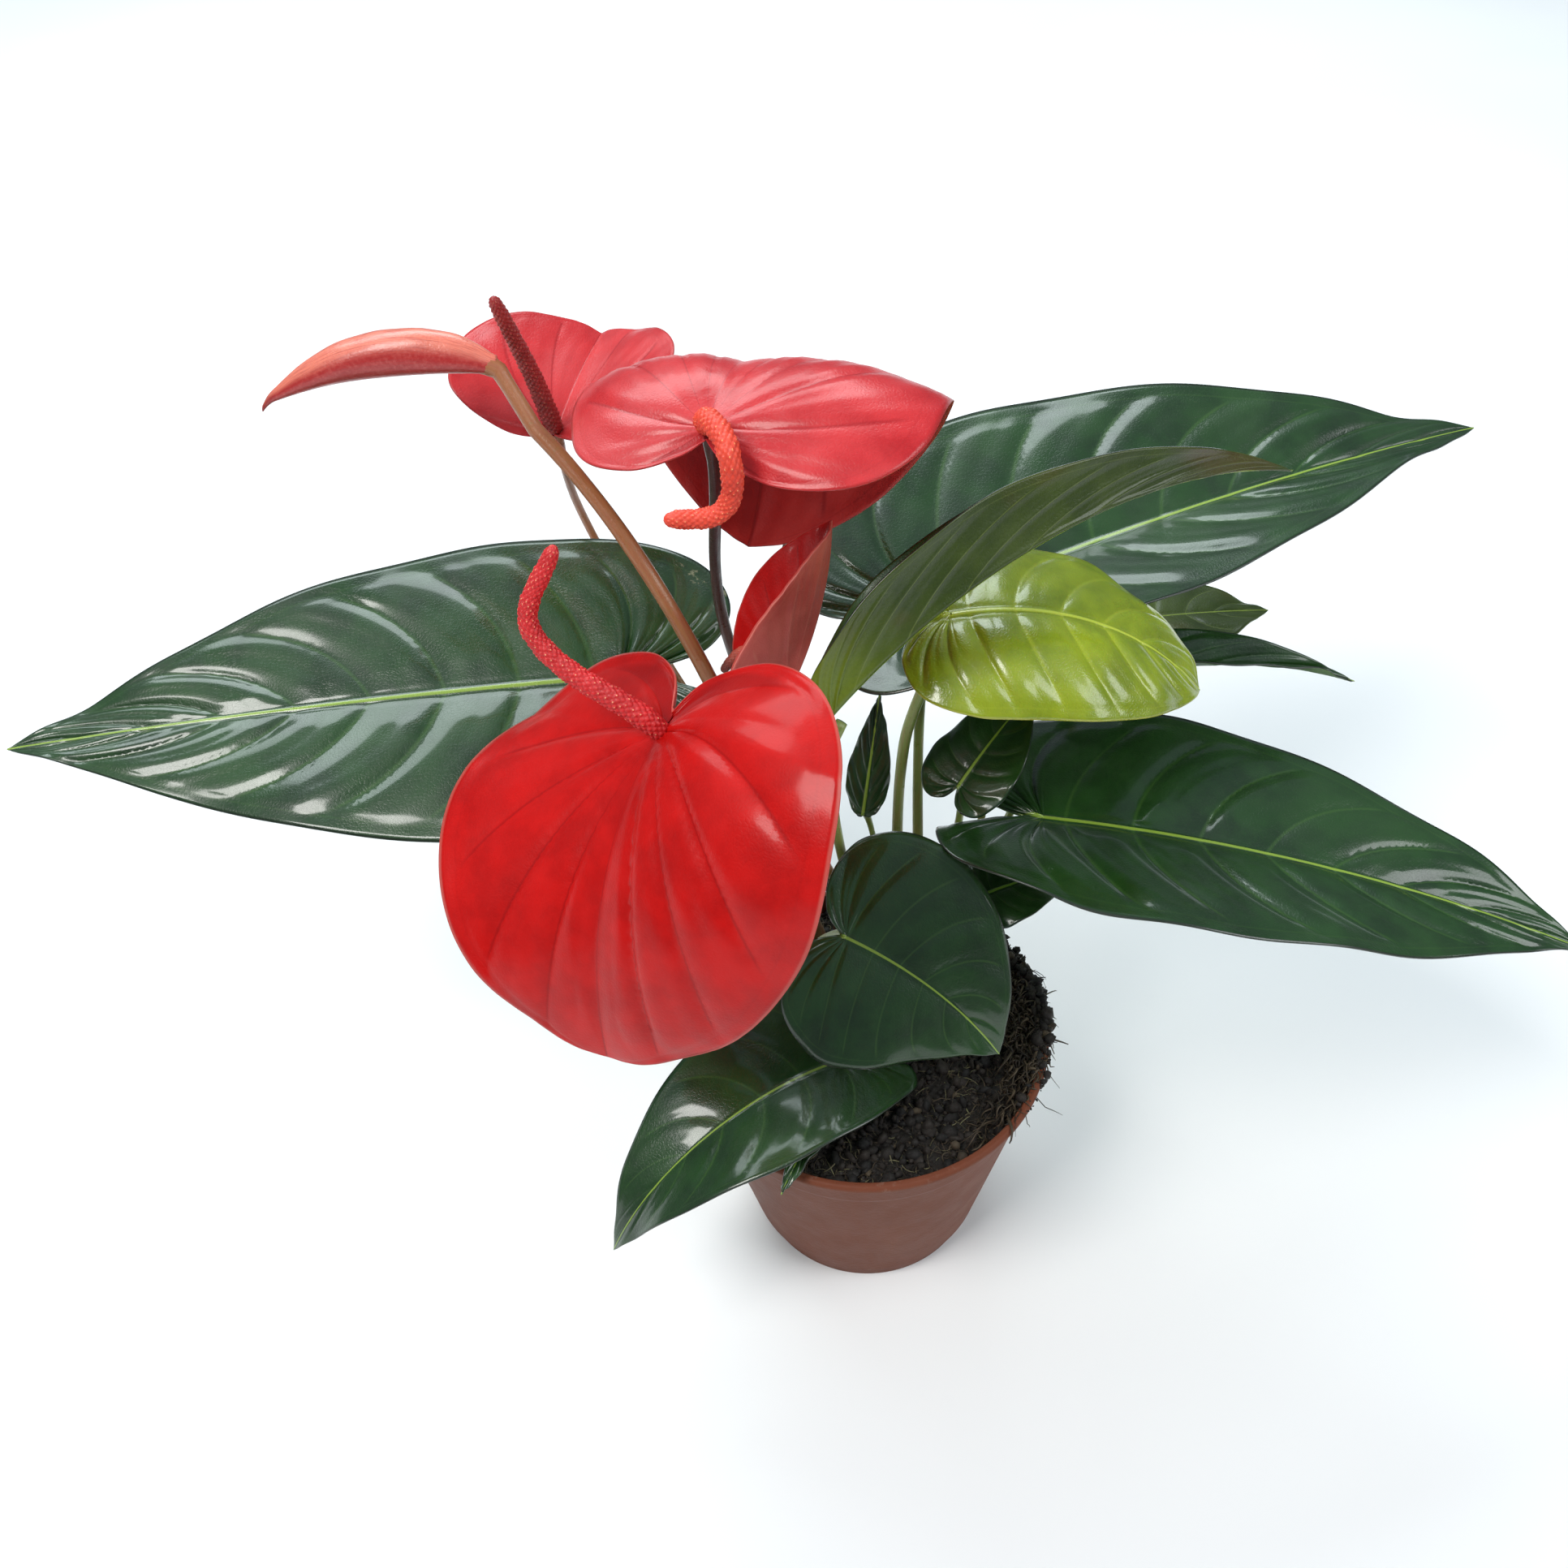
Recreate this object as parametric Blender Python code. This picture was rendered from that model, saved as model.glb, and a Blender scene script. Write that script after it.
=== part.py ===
"""Potted anthurium: a thin plastic pot with its root ball, rooted shoots, leaves and flowers.

Metres, +Z up.  The origin is the centre of the pot's flat base, on the surface it stands on.
Every leaf, spathe and stem is placed from the centre of the pot's rim, so the plant follows the pot.
The plant's own sizes are in millimetres and its angles in degrees.  A blade's heading turns from
+X towards +Y, its pitch is above level, and its left is to the left of its heading.
"""

import math
from dataclasses import dataclass

import bmesh
import bpy
from mathutils import Vector

MM = 0.001

# ---- pot ----
POT_HEIGHT = 95 * MM
POT_RIM_RADIUS = 60 * MM
POT_BASE_RADIUS = 40 * MM
POT_WALL = 1.4 * MM
POT_FLOOR = 2.2 * MM
LIP_WIDTH = 1.6 * MM
LIP_HEIGHT = 3.5 * MM
FOOT_HEIGHT = 7 * MM
FOOT_STEP = 0.8 * MM
DRAIN_COUNT = 6
DRAIN_RADIUS = 4 * MM
DRAIN_RING_RADIUS = 28 * MM
DRAIN_SIDES = 12
POT_SEGMENTS = 40

# ---- root ball and shoots ----
SOIL_BELOW_RIM = 8 * MM
SOIL_MOUND = 5 * MM
SOIL_BUMP = 0.8 * MM
SOIL_SEGMENTS = 32
SOIL_RINGS = 6
PIT_DEPTH = 14 * MM
CROWN_TAPER = 0.75
CROWN_SIDES = 12
CLEARANCE = 0.3 * MM

# ---- blades and stems ----
BLADE_THICKNESS = 0.9 * MM
BLADE_RIBS = 11
BLADE_CELLS = 3
LOBE_SHARE = 0.36
MIDRIB_STEPS = 24
STEM_STEPS = 10
SPADIX_STEPS = 12
SPADIX_BLUNTNESS = 0.92

# Half outlines from the sinus round the lobe to the tip: along over length, across over half width.
LEAF = [(-0.03, 0), (-0.14, 0.14), (-0.19, 0.42), (-0.14, 0.74), (0.02, 0.95), (0.18, 1),
        (0.36, 0.93), (0.55, 0.74), (0.73, 0.47), (0.87, 0.22), (0.95, 0.09), (1, 0)]
SPATHE = [(-0.06, 0), (-0.17, 0.12), (-0.24, 0.4), (-0.19, 0.72), (-0.02, 0.95), (0.18, 1),
          (0.4, 0.95), (0.61, 0.8), (0.79, 0.58), (0.91, 0.33), (0.97, 0.15), (1, 0)]
SHORT_SPATHE = [(-0.03, 0), (-0.09, 0.12), (-0.14, 0.4), (-0.11, 0.72), (0.02, 0.95), (0.2, 1),
                (0.41, 0.98), (0.61, 0.87), (0.79, 0.64), (0.91, 0.36), (0.97, 0.14), (1, 0)]
BLUNT_LEAF = [(-0.03, 0), (-0.14, 0.14), (-0.19, 0.42), (-0.14, 0.74), (0.02, 0.95), (0.18, 1),
              (0.38, 0.98), (0.58, 0.88), (0.76, 0.69), (0.89, 0.42), (0.96, 0.19), (1, 0)]
NARROW = [(-0.02, 0), (-0.02, 0.3), (0.04, 0.65), (0.15, 0.92), (0.3, 1), (0.46, 0.92),
          (0.62, 0.7), (0.77, 0.43), (0.89, 0.2), (0.96, 0.07), (1, 0)]

GREEN = (0.03, 0.09, 0.02)
OLIVE = (0.1, 0.1, 0.03)
LIME = (0.25, 0.33, 0.05)
RED = (0.45, 0.008, 0.02)
CORAL = (0.65, 0.09, 0.09)
ORANGE = (0.6, 0.12, 0.03)
MAROON = (0.12, 0.02, 0.02)
PETIOLE = (0.16, 0.2, 0.05)
PEDUNCLE = (0.22, 0.08, 0.03)
BROWN = (0.1, 0.05, 0.025)


@dataclass
class Crown:
    """A short rooted stem: its centre from the pot's axis, its radius, and its top from the rim."""

    name: str
    x: float
    y: float
    radius: float
    top: float


@dataclass
class Blade:
    """A leaf, spathe or bract.  It bends by droop and sweep from its base to its tip.

    Each half leaves the midrib at its fold angle and curls down by its curl angle to the margin.
    An uneven blade has its left half wider than its right by twice that share.
    """

    name: str
    outline: list
    attach: tuple
    heading: float
    pitch: float
    length: float
    width: float
    colour: tuple
    droop: float = 0
    sweep: float = 0
    roll: float = 0
    twist: float = 0
    fold_left: float = 6
    fold_right: float = 6
    curl_left: float = 15
    curl_right: float = 15
    uneven: float = 0


@dataclass
class Stem:
    """A petiole or peduncle from the side of a crown up to the underside of the blade it carries."""

    name: str
    blade: str
    crown: str
    azimuth: float
    height: float
    radius: float
    colour: tuple
    lean: float = 10
    via: tuple = None
    arrive: float = 20


@dataclass
class Spadix:
    """The flower spike on a spathe: it leaves the spathe's face and follows its route to the tip."""

    name: str
    blade: str
    route: list
    radius: float
    tip_radius: float
    colour: tuple


CROWNS = [
    Crown("crown_main", -6, 24, 8, 4),
    Crown("crown_right", 18, 28, 7, 2),
    Crown("crown_front", -13, -27, 4, -1),
]

LEAVES = [
    Blade("leaf_left", LEAF, (-71, 60, 105), 182, 0, 190, 104, GREEN, droop=6, roll=-15,
          curl_left=20, curl_right=0),
    Blade("leaf_back_right", LEAF, (29, 88, 103), 20, 8, 209, 110, GREEN, droop=12, fold_left=21,
          fold_right=15, curl_left=5, curl_right=5, uneven=0.15),
    Blade("leaf_right", LEAF, (58, 28, 65), -11, -2, 172, 104, GREEN, droop=17, sweep=-5, roll=-10,
          twist=18, fold_left=10, fold_right=16, curl_left=8, curl_right=8),
    Blade("leaf_front", LEAF, (-6, -9, 58), -24, -15, 62, 75, GREEN, droop=42, roll=45,
          curl_left=12, curl_right=12),
    Blade("leaf_front_left", LEAF, (-9, -18, 7), 209, 18, 101, 57, GREEN, droop=82,
          fold_left=12, fold_right=12, curl_left=0, curl_right=0),
    Blade("leaf_folded", NARROW, (-8, -1, 140), 27, 40, 162, 41, OLIVE, droop=64,
          roll=-48, fold_left=70, fold_right=65, curl_left=10, curl_right=10),
    Blade("leaf_lime", BLUNT_LEAF, (28, 42, 137), 2, 8, 84, 70, LIME, droop=60, sweep=-12,
          fold_left=8, fold_right=5, curl_left=30, curl_right=60),
    Blade("leaf_small_front", NARROW, (-14, -34, 4), 241, 20, 33, 12, GREEN, droop=40,
          fold_left=20, fold_right=20, curl_left=0, curl_right=0),
    Blade("leaf_rear_right", LEAF, (96, 126, 59), 8, 0, 62, 54, OLIVE, droop=10),
    Blade("leaf_thin_right", NARROW, (75, 84, 67), -4, 24, 96, 26, GREEN, droop=45,
          fold_left=50, fold_right=50),
    Blade("leaf_centre", LEAF, (32, 33, 77), 45, 30, 40, 30, GREEN, droop=20),
    Blade("leaf_narrow_centre", NARROW, (3, 44, 55), 70, 60, 40, 14, GREEN),
    Blade("leaf_low_right", LEAF, (36, 8, 53), 20, 5, 34, 28, GREEN, droop=20),
]

SPATHES = [
    Blade("spathe_front", SPATHE, (-52, -14, 151), -125, -20, 98, 128, RED, droop=75, sweep=28,
          roll=32, twist=-20, fold_left=8, fold_right=5, curl_left=45, curl_right=0),
    Blade("spathe_top", SHORT_SPATHE, (-36, 38, 206), 72, 31, 103, 103, CORAL, droop=194,
          fold_left=8, fold_right=14, curl_left=45, curl_right=35, uneven=-0.12),
    Blade("spathe_rear_left", SHORT_SPATHE, (-84, 104, 165), 72, 22, 43, 75, RED, droop=20,
          fold_left=34, fold_right=30, curl_left=10, curl_right=10, uneven=-0.05),
    Blade("spathe_rolled", NARROW, (-97, 80, 200), 176, 6, 66, 30, CORAL, droop=28, roll=35,
          fold_left=5, fold_right=5, curl_left=-155, curl_right=-155),
    Blade("spathe_young", SHORT_SPATHE, (-19, 27, 125), 45, 46, 50, 56, CORAL, droop=0, sweep=40,
          roll=-50, fold_left=40, fold_right=40, curl_left=-10, curl_right=-10, uneven=-0.1),
]

BRACTS = [
    Blade("bract_front", NARROW, (-20, -32, -2), 200, 35, 12, 8, BROWN, fold_left=30, fold_right=30),
    Blade("bract_main", NARROW, (-3, 13, 2), -75, 75, 26, 10, BROWN, fold_left=30, fold_right=30),
    Blade("bract_right", NARROW, (16, 17, 0), -100, 75, 22, 9, BROWN, fold_left=30, fold_right=30),
]

STEMS = [
    Stem("petiole_left", "leaf_left", "crown_main", 180, 0, 1.7, PETIOLE, 20),
    Stem("petiole_back_right", "leaf_back_right", "crown_right", 72, -2, 1.8, PETIOLE, 5),
    Stem("petiole_right", "leaf_right", "crown_right", -28, -2, 1.8, PETIOLE, 20),
    Stem("petiole_front", "leaf_front", "crown_main", -130, -2, 1.4, PETIOLE, 10,
         (-15, 4, 38)),
    Stem("petiole_front_left", "leaf_front_left", "crown_main", -103, -1, 1.2, PETIOLE, 50),
    Stem("petiole_folded", "leaf_folded", "crown_main", -20, 0, 1.6, PETIOLE, -5, (-8, 10, 92),
         arrive=80),
    Stem("petiole_lime", "leaf_lime", "crown_right", 115, 0, 1.8, PETIOLE, 0, (15, 38, 90)),
    Stem("petiole_small_front", "leaf_small_front", "crown_front", -90, -2, 0.9, PETIOLE, 0),
    Stem("petiole_rear_right", "leaf_rear_right", "crown_right", 21, 0, 1.4, PETIOLE, 30),
    Stem("petiole_thin_right", "leaf_thin_right", "crown_right", -3, 0, 1.3, PETIOLE, 30,
         (56, 86, 48)),
    Stem("petiole_centre", "leaf_centre", "crown_right", 45, 0, 1.3, PETIOLE, 0),
    Stem("petiole_narrow_centre", "leaf_narrow_centre", "crown_right", 172, 0, 1.0, PETIOLE, 0),
    Stem("petiole_low_right", "leaf_low_right", "crown_right", -55, 0, 1.2, PETIOLE, 10),
    Stem("peduncle_front", "spathe_front", "crown_main", 212, 0, 1.8, PEDUNCLE, 15),
    Stem("peduncle_top", "spathe_top", "crown_main", 88, 0, 1.8, MAROON, 5, (-37, 66, 116)),
    Stem("peduncle_rear_left", "spathe_rear_left", "crown_main", 118, 0, 1.4, PEDUNCLE, 35,
         (-79, 119, 112)),
    Stem("peduncle_rolled", "spathe_rolled", "crown_main", 148, 0, 2.4, PEDUNCLE, 8, (-46, 38, 135),
         arrive=55),
    Stem("peduncle_young", "spathe_young", "crown_main", 58, 0, 1.5, PEDUNCLE, 0, arrive=75),
]

SPADICES = [
    Spadix("spadix_front", "spathe_front", [(-82, -2, 176), (-74, 5, 197)], 3.2, 2.2, RED),
    Spadix("spadix_top", "spathe_top", [(-31, 20, 211), (-33, 17, 196), (-48, 15, 195)], 3.2, 2.4, ORANGE),
    Spadix("spadix_rear_left", "spathe_rear_left", [(-87, 97, 188), (-92, 84, 220)], 3, 2, MAROON),
    Spadix("spadix_young", "spathe_young", [(-30, 35, 134), (-38, 34, 128)], 2, 1.4, ORANGE),
]


def clear_scene():
    for old in list(bpy.data.objects):
        bpy.data.objects.remove(old, do_unlink=True)


def material(name, colour, roughness):
    made = bpy.data.materials.new(name)
    made.use_nodes = True
    shader = made.node_tree.nodes["Principled BSDF"]
    shader.inputs["Base Color"].default_value = (*colour, 1)
    shader.inputs["Roughness"].default_value = roughness
    shader.inputs["Metallic"].default_value = 0
    return made


def finish(name, data, colour, roughness, parent):
    """Links a mesh or curve as a named object under the parent, with its own material."""
    obj = bpy.data.objects.new(name, data)
    bpy.context.scene.collection.objects.link(obj)
    obj.data.materials.append(material(name, colour, roughness))
    obj.parent = parent
    return obj


def mesh_from(name, built):
    mesh = bpy.data.meshes.new(name)
    bmesh.ops.recalc_face_normals(built, faces=built.faces)
    built.to_mesh(mesh)
    built.free()
    return mesh


def direction(azimuth, elevation=0.0):
    azimuth = math.radians(azimuth)
    elevation = math.radians(elevation)
    return Vector((math.cos(elevation) * math.cos(azimuth),
                   math.cos(elevation) * math.sin(azimuth),
                   math.sin(elevation)))


def turned(name, profile, segments):
    """A closed solid of revolution about +Z from a closed (radius, height) profile."""
    built = bmesh.new()
    ring = [built.verts.new((radius, 0, height)) for radius, height in profile]
    edges = [built.edges.new((ring[i], ring[(i + 1) % len(ring)])) for i in range(len(ring))]
    bmesh.ops.spin(built, geom=ring + edges, cent=(0, 0, 0), axis=(0, 0, 1),
                   angle=math.tau, steps=segments, use_merge=True)
    bmesh.ops.remove_doubles(built, verts=built.verts, dist=0.00001)
    bmesh.ops.dissolve_degenerate(built, edges=built.edges, dist=0.00001)
    return mesh_from(name, built)


def cut(obj, cutter, operation="DIFFERENCE"):
    """Cuts the object with a hidden helper."""
    cutter.hide_render = True
    cutter.display_type = "WIRE"
    boolean = obj.modifiers.new(cutter.name, "BOOLEAN")
    boolean.operation = operation
    boolean.object = cutter


def smooth(obj, angle=40):
    obj.data.shade_smooth()
    if hasattr(obj.data, "set_sharp_from_angle"):
        obj.data.set_sharp_from_angle(angle=math.radians(angle))


# ---------------------------------------------------------------- pot and root ball

def wall_radius(height):
    """The pot's outer radius at a height: a straight taper from the base to under the lip."""
    share = height / POT_HEIGHT
    return POT_BASE_RADIUS + (POT_RIM_RADIUS - LIP_WIDTH - POT_BASE_RADIUS) * share


def make_pot(parent):
    lip_foot = POT_HEIGHT - LIP_HEIGHT
    edge = LIP_WIDTH / 3
    outer = [
        (0, 0), (POT_BASE_RADIUS - FOOT_STEP - edge, 0), (POT_BASE_RADIUS - FOOT_STEP, edge),
        (wall_radius(FOOT_HEIGHT) - FOOT_STEP, FOOT_HEIGHT), (wall_radius(FOOT_HEIGHT), FOOT_HEIGHT + edge),
        (wall_radius(lip_foot), lip_foot), (POT_RIM_RADIUS, lip_foot + edge),
        (POT_RIM_RADIUS, POT_HEIGHT - edge), (POT_RIM_RADIUS - edge, POT_HEIGHT),
    ]
    inner = [
        (wall_radius(POT_HEIGHT) - POT_WALL + edge, POT_HEIGHT),
        (wall_radius(POT_HEIGHT) - POT_WALL, POT_HEIGHT - edge),
        (wall_radius(POT_FLOOR) - POT_WALL - FOOT_STEP, POT_FLOOR), (0, POT_FLOOR),
    ]
    pot = finish("pot", turned("pot", outer + inner, POT_SEGMENTS), (0.17, 0.06, 0.04), 0.45, parent)
    holes = bmesh.new()
    for i in range(DRAIN_COUNT):
        centre = DRAIN_RING_RADIUS * direction(360 * (i + 0.5) / DRAIN_COUNT)
        made = bmesh.ops.create_cone(holes, cap_ends=True, segments=DRAIN_SIDES, radius1=DRAIN_RADIUS,
                                     radius2=DRAIN_RADIUS, depth=4 * POT_FLOOR)
        bmesh.ops.translate(holes, verts=made["verts"], vec=centre)
    cut(pot, finish("drain_cutter", mesh_from("drain_cutter", holes), BROWN, 0.5, parent))
    smooth(pot)
    return pot


def soil_height(x, y):
    """The root ball's top: a low mound under the shoots, with small seedless ripples."""
    share = min(1, math.hypot(x, y) / POT_RIM_RADIUS)
    ripple = math.sin(x / 0.0065 + 1.3) * math.cos(y / 0.0052 - 0.4) + math.sin((x + y) / 0.0043)
    return POT_HEIGHT - SOIL_BELOW_RIM + SOIL_MOUND * (1 - share * share) + SOIL_BUMP * ripple / 2


def make_soil(parent):
    """The root ball fills the pot with a small clearance, and has one pit for each shoot."""
    top_radius = wall_radius(POT_HEIGHT - SOIL_BELOW_RIM) - POT_WALL - CLEARANCE - SOIL_BUMP
    floor = POT_FLOOR + CLEARANCE
    floor_radius = wall_radius(POT_FLOOR) - POT_WALL - FOOT_STEP - 4 * CLEARANCE
    built = bmesh.new()
    centre = built.verts.new((0, 0, soil_height(0, 0)))
    rings = []
    for i in range(1, SOIL_RINGS + 1):
        radius = top_radius * i / SOIL_RINGS
        points = [radius * direction(360 * j / SOIL_SEGMENTS) for j in range(SOIL_SEGMENTS)]
        rings.append([built.verts.new((p.x, p.y, soil_height(p.x, p.y))) for p in points])
    points = [floor_radius * direction(360 * j / SOIL_SEGMENTS) for j in range(SOIL_SEGMENTS)]
    rings.append([built.verts.new((p.x, p.y, floor)) for p in points])
    for j in range(SOIL_SEGMENTS):
        following = (j + 1) % SOIL_SEGMENTS
        built.faces.new((centre, rings[0][j], rings[0][following]))
        for inner, outer in zip(rings, rings[1:]):
            built.faces.new((inner[j], outer[j], outer[following], inner[following]))
    built.faces.new(list(reversed(rings[-1])))
    soil = finish("soil", mesh_from("soil", built), (0.02, 0.014, 0.01), 0.95, parent)
    pits = bmesh.new()
    for crown in CROWNS:
        depth = PIT_DEPTH + 2 * SOIL_MOUND
        made = bmesh.ops.create_cone(pits, cap_ends=True, segments=CROWN_SIDES, depth=depth,
                                     radius1=crown.radius * MM + CLEARANCE,
                                     radius2=crown.radius * MM + CLEARANCE)
        place = Vector((crown.x * MM, crown.y * MM, POT_HEIGHT - SOIL_BELOW_RIM - PIT_DEPTH + depth / 2))
        bmesh.ops.translate(pits, verts=made["verts"], vec=place)
    cut(soil, finish("pit_cutter", mesh_from("pit_cutter", pits), BROWN, 0.5, parent))
    smooth(soil)
    return soil


def make_crown(crown, parent):
    """A stubby stem that stands in its pit: straight below the soil, tapering to a blunt top."""
    radius = crown.radius * MM
    foot = POT_HEIGHT - SOIL_BELOW_RIM - PIT_DEPTH + CLEARANCE
    top = POT_HEIGHT + crown.top * MM
    profile = [(0, foot), (radius, foot), (radius, top - radius), (radius * CROWN_TAPER, top), (0, top)]
    obj = finish(crown.name, turned(crown.name, profile, CROWN_SIDES), BROWN, 0.8, parent)
    obj.location = (crown.x * MM, crown.y * MM, 0)
    smooth(obj)
    return obj


# ---------------------------------------------------------------- blades

def spline_point(points, share):
    """A point on the Catmull-Rom curve through the points, share running from 0 to 1."""
    place = share * (len(points) - 1)
    index = min(int(place), len(points) - 2)
    part = place - index
    ends = [points[max(index - 1, 0)], points[index], points[index + 1],
            points[min(index + 2, len(points) - 1)]]
    before, start, end, after = [Vector(p) for p in ends]
    return 0.5 * (2 * start + (end - before) * part
                  + (2 * before - 5 * start + 4 * end - after) * part ** 2
                  + (3 * start - before - 3 * end + after) * part ** 3)


def midrib_frame(blade, along):
    """Place, left and upper directions of the midrib, at a length along it in millimetres."""
    share = along / blade.length
    place = Vector(blade.attach)
    for i in range(MIDRIB_STEPS):
        step = max(0, share * (i + 0.5) / MIDRIB_STEPS)
        heading = direction(blade.heading + blade.sweep * step, blade.pitch - blade.droop * step)
        place = place + heading * (along / MIDRIB_STEPS)
    bend = max(0, share)
    azimuth = blade.heading + blade.sweep * bend
    ahead = direction(azimuth, blade.pitch - blade.droop * bend)
    side = direction(azimuth + 90)
    upper = ahead.cross(side)
    turn = math.radians(blade.roll + blade.twist * bend)
    left = side * math.cos(turn) + upper * math.sin(turn)
    return place, left, ahead.cross(left)


def blade_point(blade, along, across):
    """A point of the blade's middle surface in metres.

    Along is a length from its base, and across a share of its half width, positive on the left.
    """
    place, left, upper = midrib_frame(blade, along)
    half = blade.width / 2 * (1 + blade.uneven * math.copysign(1, across))
    fold = math.radians(blade.fold_left if across >= 0 else blade.fold_right)
    curl = math.radians(blade.curl_left if across >= 0 else blade.curl_right) or 0.001
    edge = fold - curl * abs(across)
    out = half / curl * (math.sin(fold) - math.sin(edge))
    lift = half / curl * (math.cos(edge) - math.cos(fold))
    point = place + left * math.copysign(out, across) + upper * lift
    return from_rim(point)


def make_blade(blade, parent, roughness):
    """Ribs fan from the base through each lobe, then leave the midrib for the margin up to the tip."""
    built = bmesh.new()
    middle = []
    for i in range(BLADE_RIBS + 1):
        root = max(0, (i / BLADE_RIBS - LOBE_SHARE) / (1 - LOBE_SHARE))
        if i == 0:
            root = blade.outline[0][0]
        if root == 0 and len(middle) > 1:
            middle.append(middle[1])
        else:
            middle.append(built.verts.new(blade_point(blade, root * blade.length, 0)))
    for side in (1, -1):
        rows = []
        for i in range(1, BLADE_RIBS):
            root = max(0, (i / BLADE_RIBS - LOBE_SHARE) / (1 - LOBE_SHARE))
            edge = spline_point(blade.outline, i / BLADE_RIBS)
            row = [middle[i]]
            for j in range(1, BLADE_CELLS + 1):
                share = j / BLADE_CELLS
                along = root + (edge.x - root) * share
                across = side * edge.y * share
                row.append(built.verts.new(blade_point(blade, along * blade.length, across)))
            rows.append(row)
        for row, following in zip(rows, rows[1:]):
            for j in range(BLADE_CELLS):
                corners = [row[j], row[j + 1], following[j + 1], following[j]]
                built.faces.new(list(dict.fromkeys(corners)))
        for row, end in ((rows[0], middle[0]), (rows[-1], middle[-1])):
            for j in range(BLADE_CELLS):
                built.faces.new((end, row[j], row[j + 1]))
    obj = finish(blade.name, mesh_from(blade.name, built), blade.colour, roughness, parent)
    solid = obj.modifiers.new("thickness", "SOLIDIFY")
    solid.thickness = BLADE_THICKNESS
    solid.offset = 0
    smooth(obj, 60)
    return obj


# ---------------------------------------------------------------- stems and spikes

def tube(name, points, radii, colour, roughness, parent):
    """A round bar along the points, with filled ends."""
    curve = bpy.data.curves.new(name, "CURVE")
    curve.dimensions = "3D"
    curve.bevel_depth = 1
    curve.bevel_resolution = 2
    curve.use_fill_caps = True
    spline = curve.splines.new("POLY")
    spline.points.add(len(points) - 1)
    for knot, point, radius in zip(spline.points, points, radii):
        knot.co = (*point, 1)
        knot.radius = radius
    return finish(name, curve, colour, roughness, parent)


def hermite(start, leave, end, arrive, share):
    """A point between two knots of a smooth curve, with its tangent at each."""
    square = share * share
    cube = square * share
    return ((2 * cube - 3 * square + 1) * start + (cube - 2 * square + share) * leave
            + (3 * square - 2 * cube) * end + (cube - square) * arrive)


def curve_through(knots, leave, arrive, steps):
    """Points of a smooth curve through the knots, leaving and arriving in the given directions."""
    spans = [(after - before).length for before, after in zip(knots, knots[1:])]
    tangents = [leave]
    for before, after in zip(knots, knots[2:]):
        tangents.append((after - before).normalized())
    tangents.append(arrive)
    points = [knots[0]]
    for i, span in enumerate(spans):
        for j in range(1, steps + 1):
            points.append(hermite(knots[i], tangents[i] * span, knots[i + 1],
                                  tangents[i + 1] * span, j / steps))
    return points


def from_rim(place):
    return MM * Vector(place) + Vector((0, 0, POT_HEIGHT))


def make_stem(stem, crowns, blades, parent):
    """It starts upright beside its crown and meets its blade from below."""
    crown = crowns[stem.crown]
    centre = from_rim((crown.x, crown.y, stem.height))
    start = centre + direction(stem.azimuth) * ((crown.radius + stem.radius) * MM + CLEARANCE)
    blade = blades[stem.blade]
    place, left, upper = midrib_frame(blade, 0)
    turn = math.radians(stem.arrive)
    arriving = upper * math.cos(turn) + left.cross(upper) * math.sin(turn)
    gap = BLADE_THICKNESS / 2 + CLEARANCE + stem.radius * MM * math.sin(turn)
    end = from_rim(place) - upper * gap
    knots = [start] + ([from_rim(stem.via)] if stem.via else []) + [end]
    steps = STEM_STEPS // (len(knots) - 1)
    points = curve_through(knots, direction(stem.azimuth, 90 - stem.lean), arriving, steps)
    return tube(stem.name, points, [stem.radius * MM] * len(points), stem.colour, 0.4, parent)


def make_spadix(spadix, blades, parent):
    blade = blades[spadix.blade]
    place, _, upper = midrib_frame(blade, 0)
    fold = math.radians(max(0, blade.fold_left, blade.fold_right))
    lift = BLADE_THICKNESS + CLEARANCE + spadix.radius * MM * math.tan(fold)
    knots = [from_rim(place) + upper * lift] + [from_rim(point) for point in spadix.route]
    ending = (knots[-1] - knots[-2]).normalized()
    points = curve_through(knots, upper, ending, SPADIX_STEPS // (len(knots) - 1))
    radii = []
    for i in range(len(points)):
        share = i / (len(points) - 1)
        radius = spadix.radius + (spadix.tip_radius - spadix.radius) * share
        radii.append(radius * MM * math.sqrt(1 - (SPADIX_BLUNTNESS * share) ** 6))
    return tube(spadix.name, points, radii, spadix.colour, 0.5, parent)


def main():
    clear_scene()
    plant = bpy.data.objects.new("potted_anthurium", None)
    bpy.context.scene.collection.objects.link(plant)
    make_pot(plant)
    make_soil(plant)
    for crown in CROWNS:
        make_crown(crown, plant)
    for leaf in LEAVES:
        make_blade(leaf, plant, 0.25)
    for spathe in SPATHES:
        make_blade(spathe, plant, 0.2)
    for bract in BRACTS:
        make_blade(bract, plant, 0.7)
    crowns = {crown.name: crown for crown in CROWNS}
    blades = {blade.name: blade for blade in LEAVES + SPATHES}
    for stem in STEMS:
        make_stem(stem, crowns, blades, plant)
    for spadix in SPADICES:
        make_spadix(spadix, blades, plant)


main()
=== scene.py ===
"""Looks for the potted anthurium: veined leaves, waxy spathes, pimpled spadices, soil and pot.

Blade and stem sizes are in millimetres from the centre of the pot's rim, and angles in degrees, as
in the part.  Everything in Blender is in metres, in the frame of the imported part.
"""

import math
from dataclasses import dataclass, replace

import bpy
import numpy as np
from mathutils import Matrix, Vector


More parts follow.
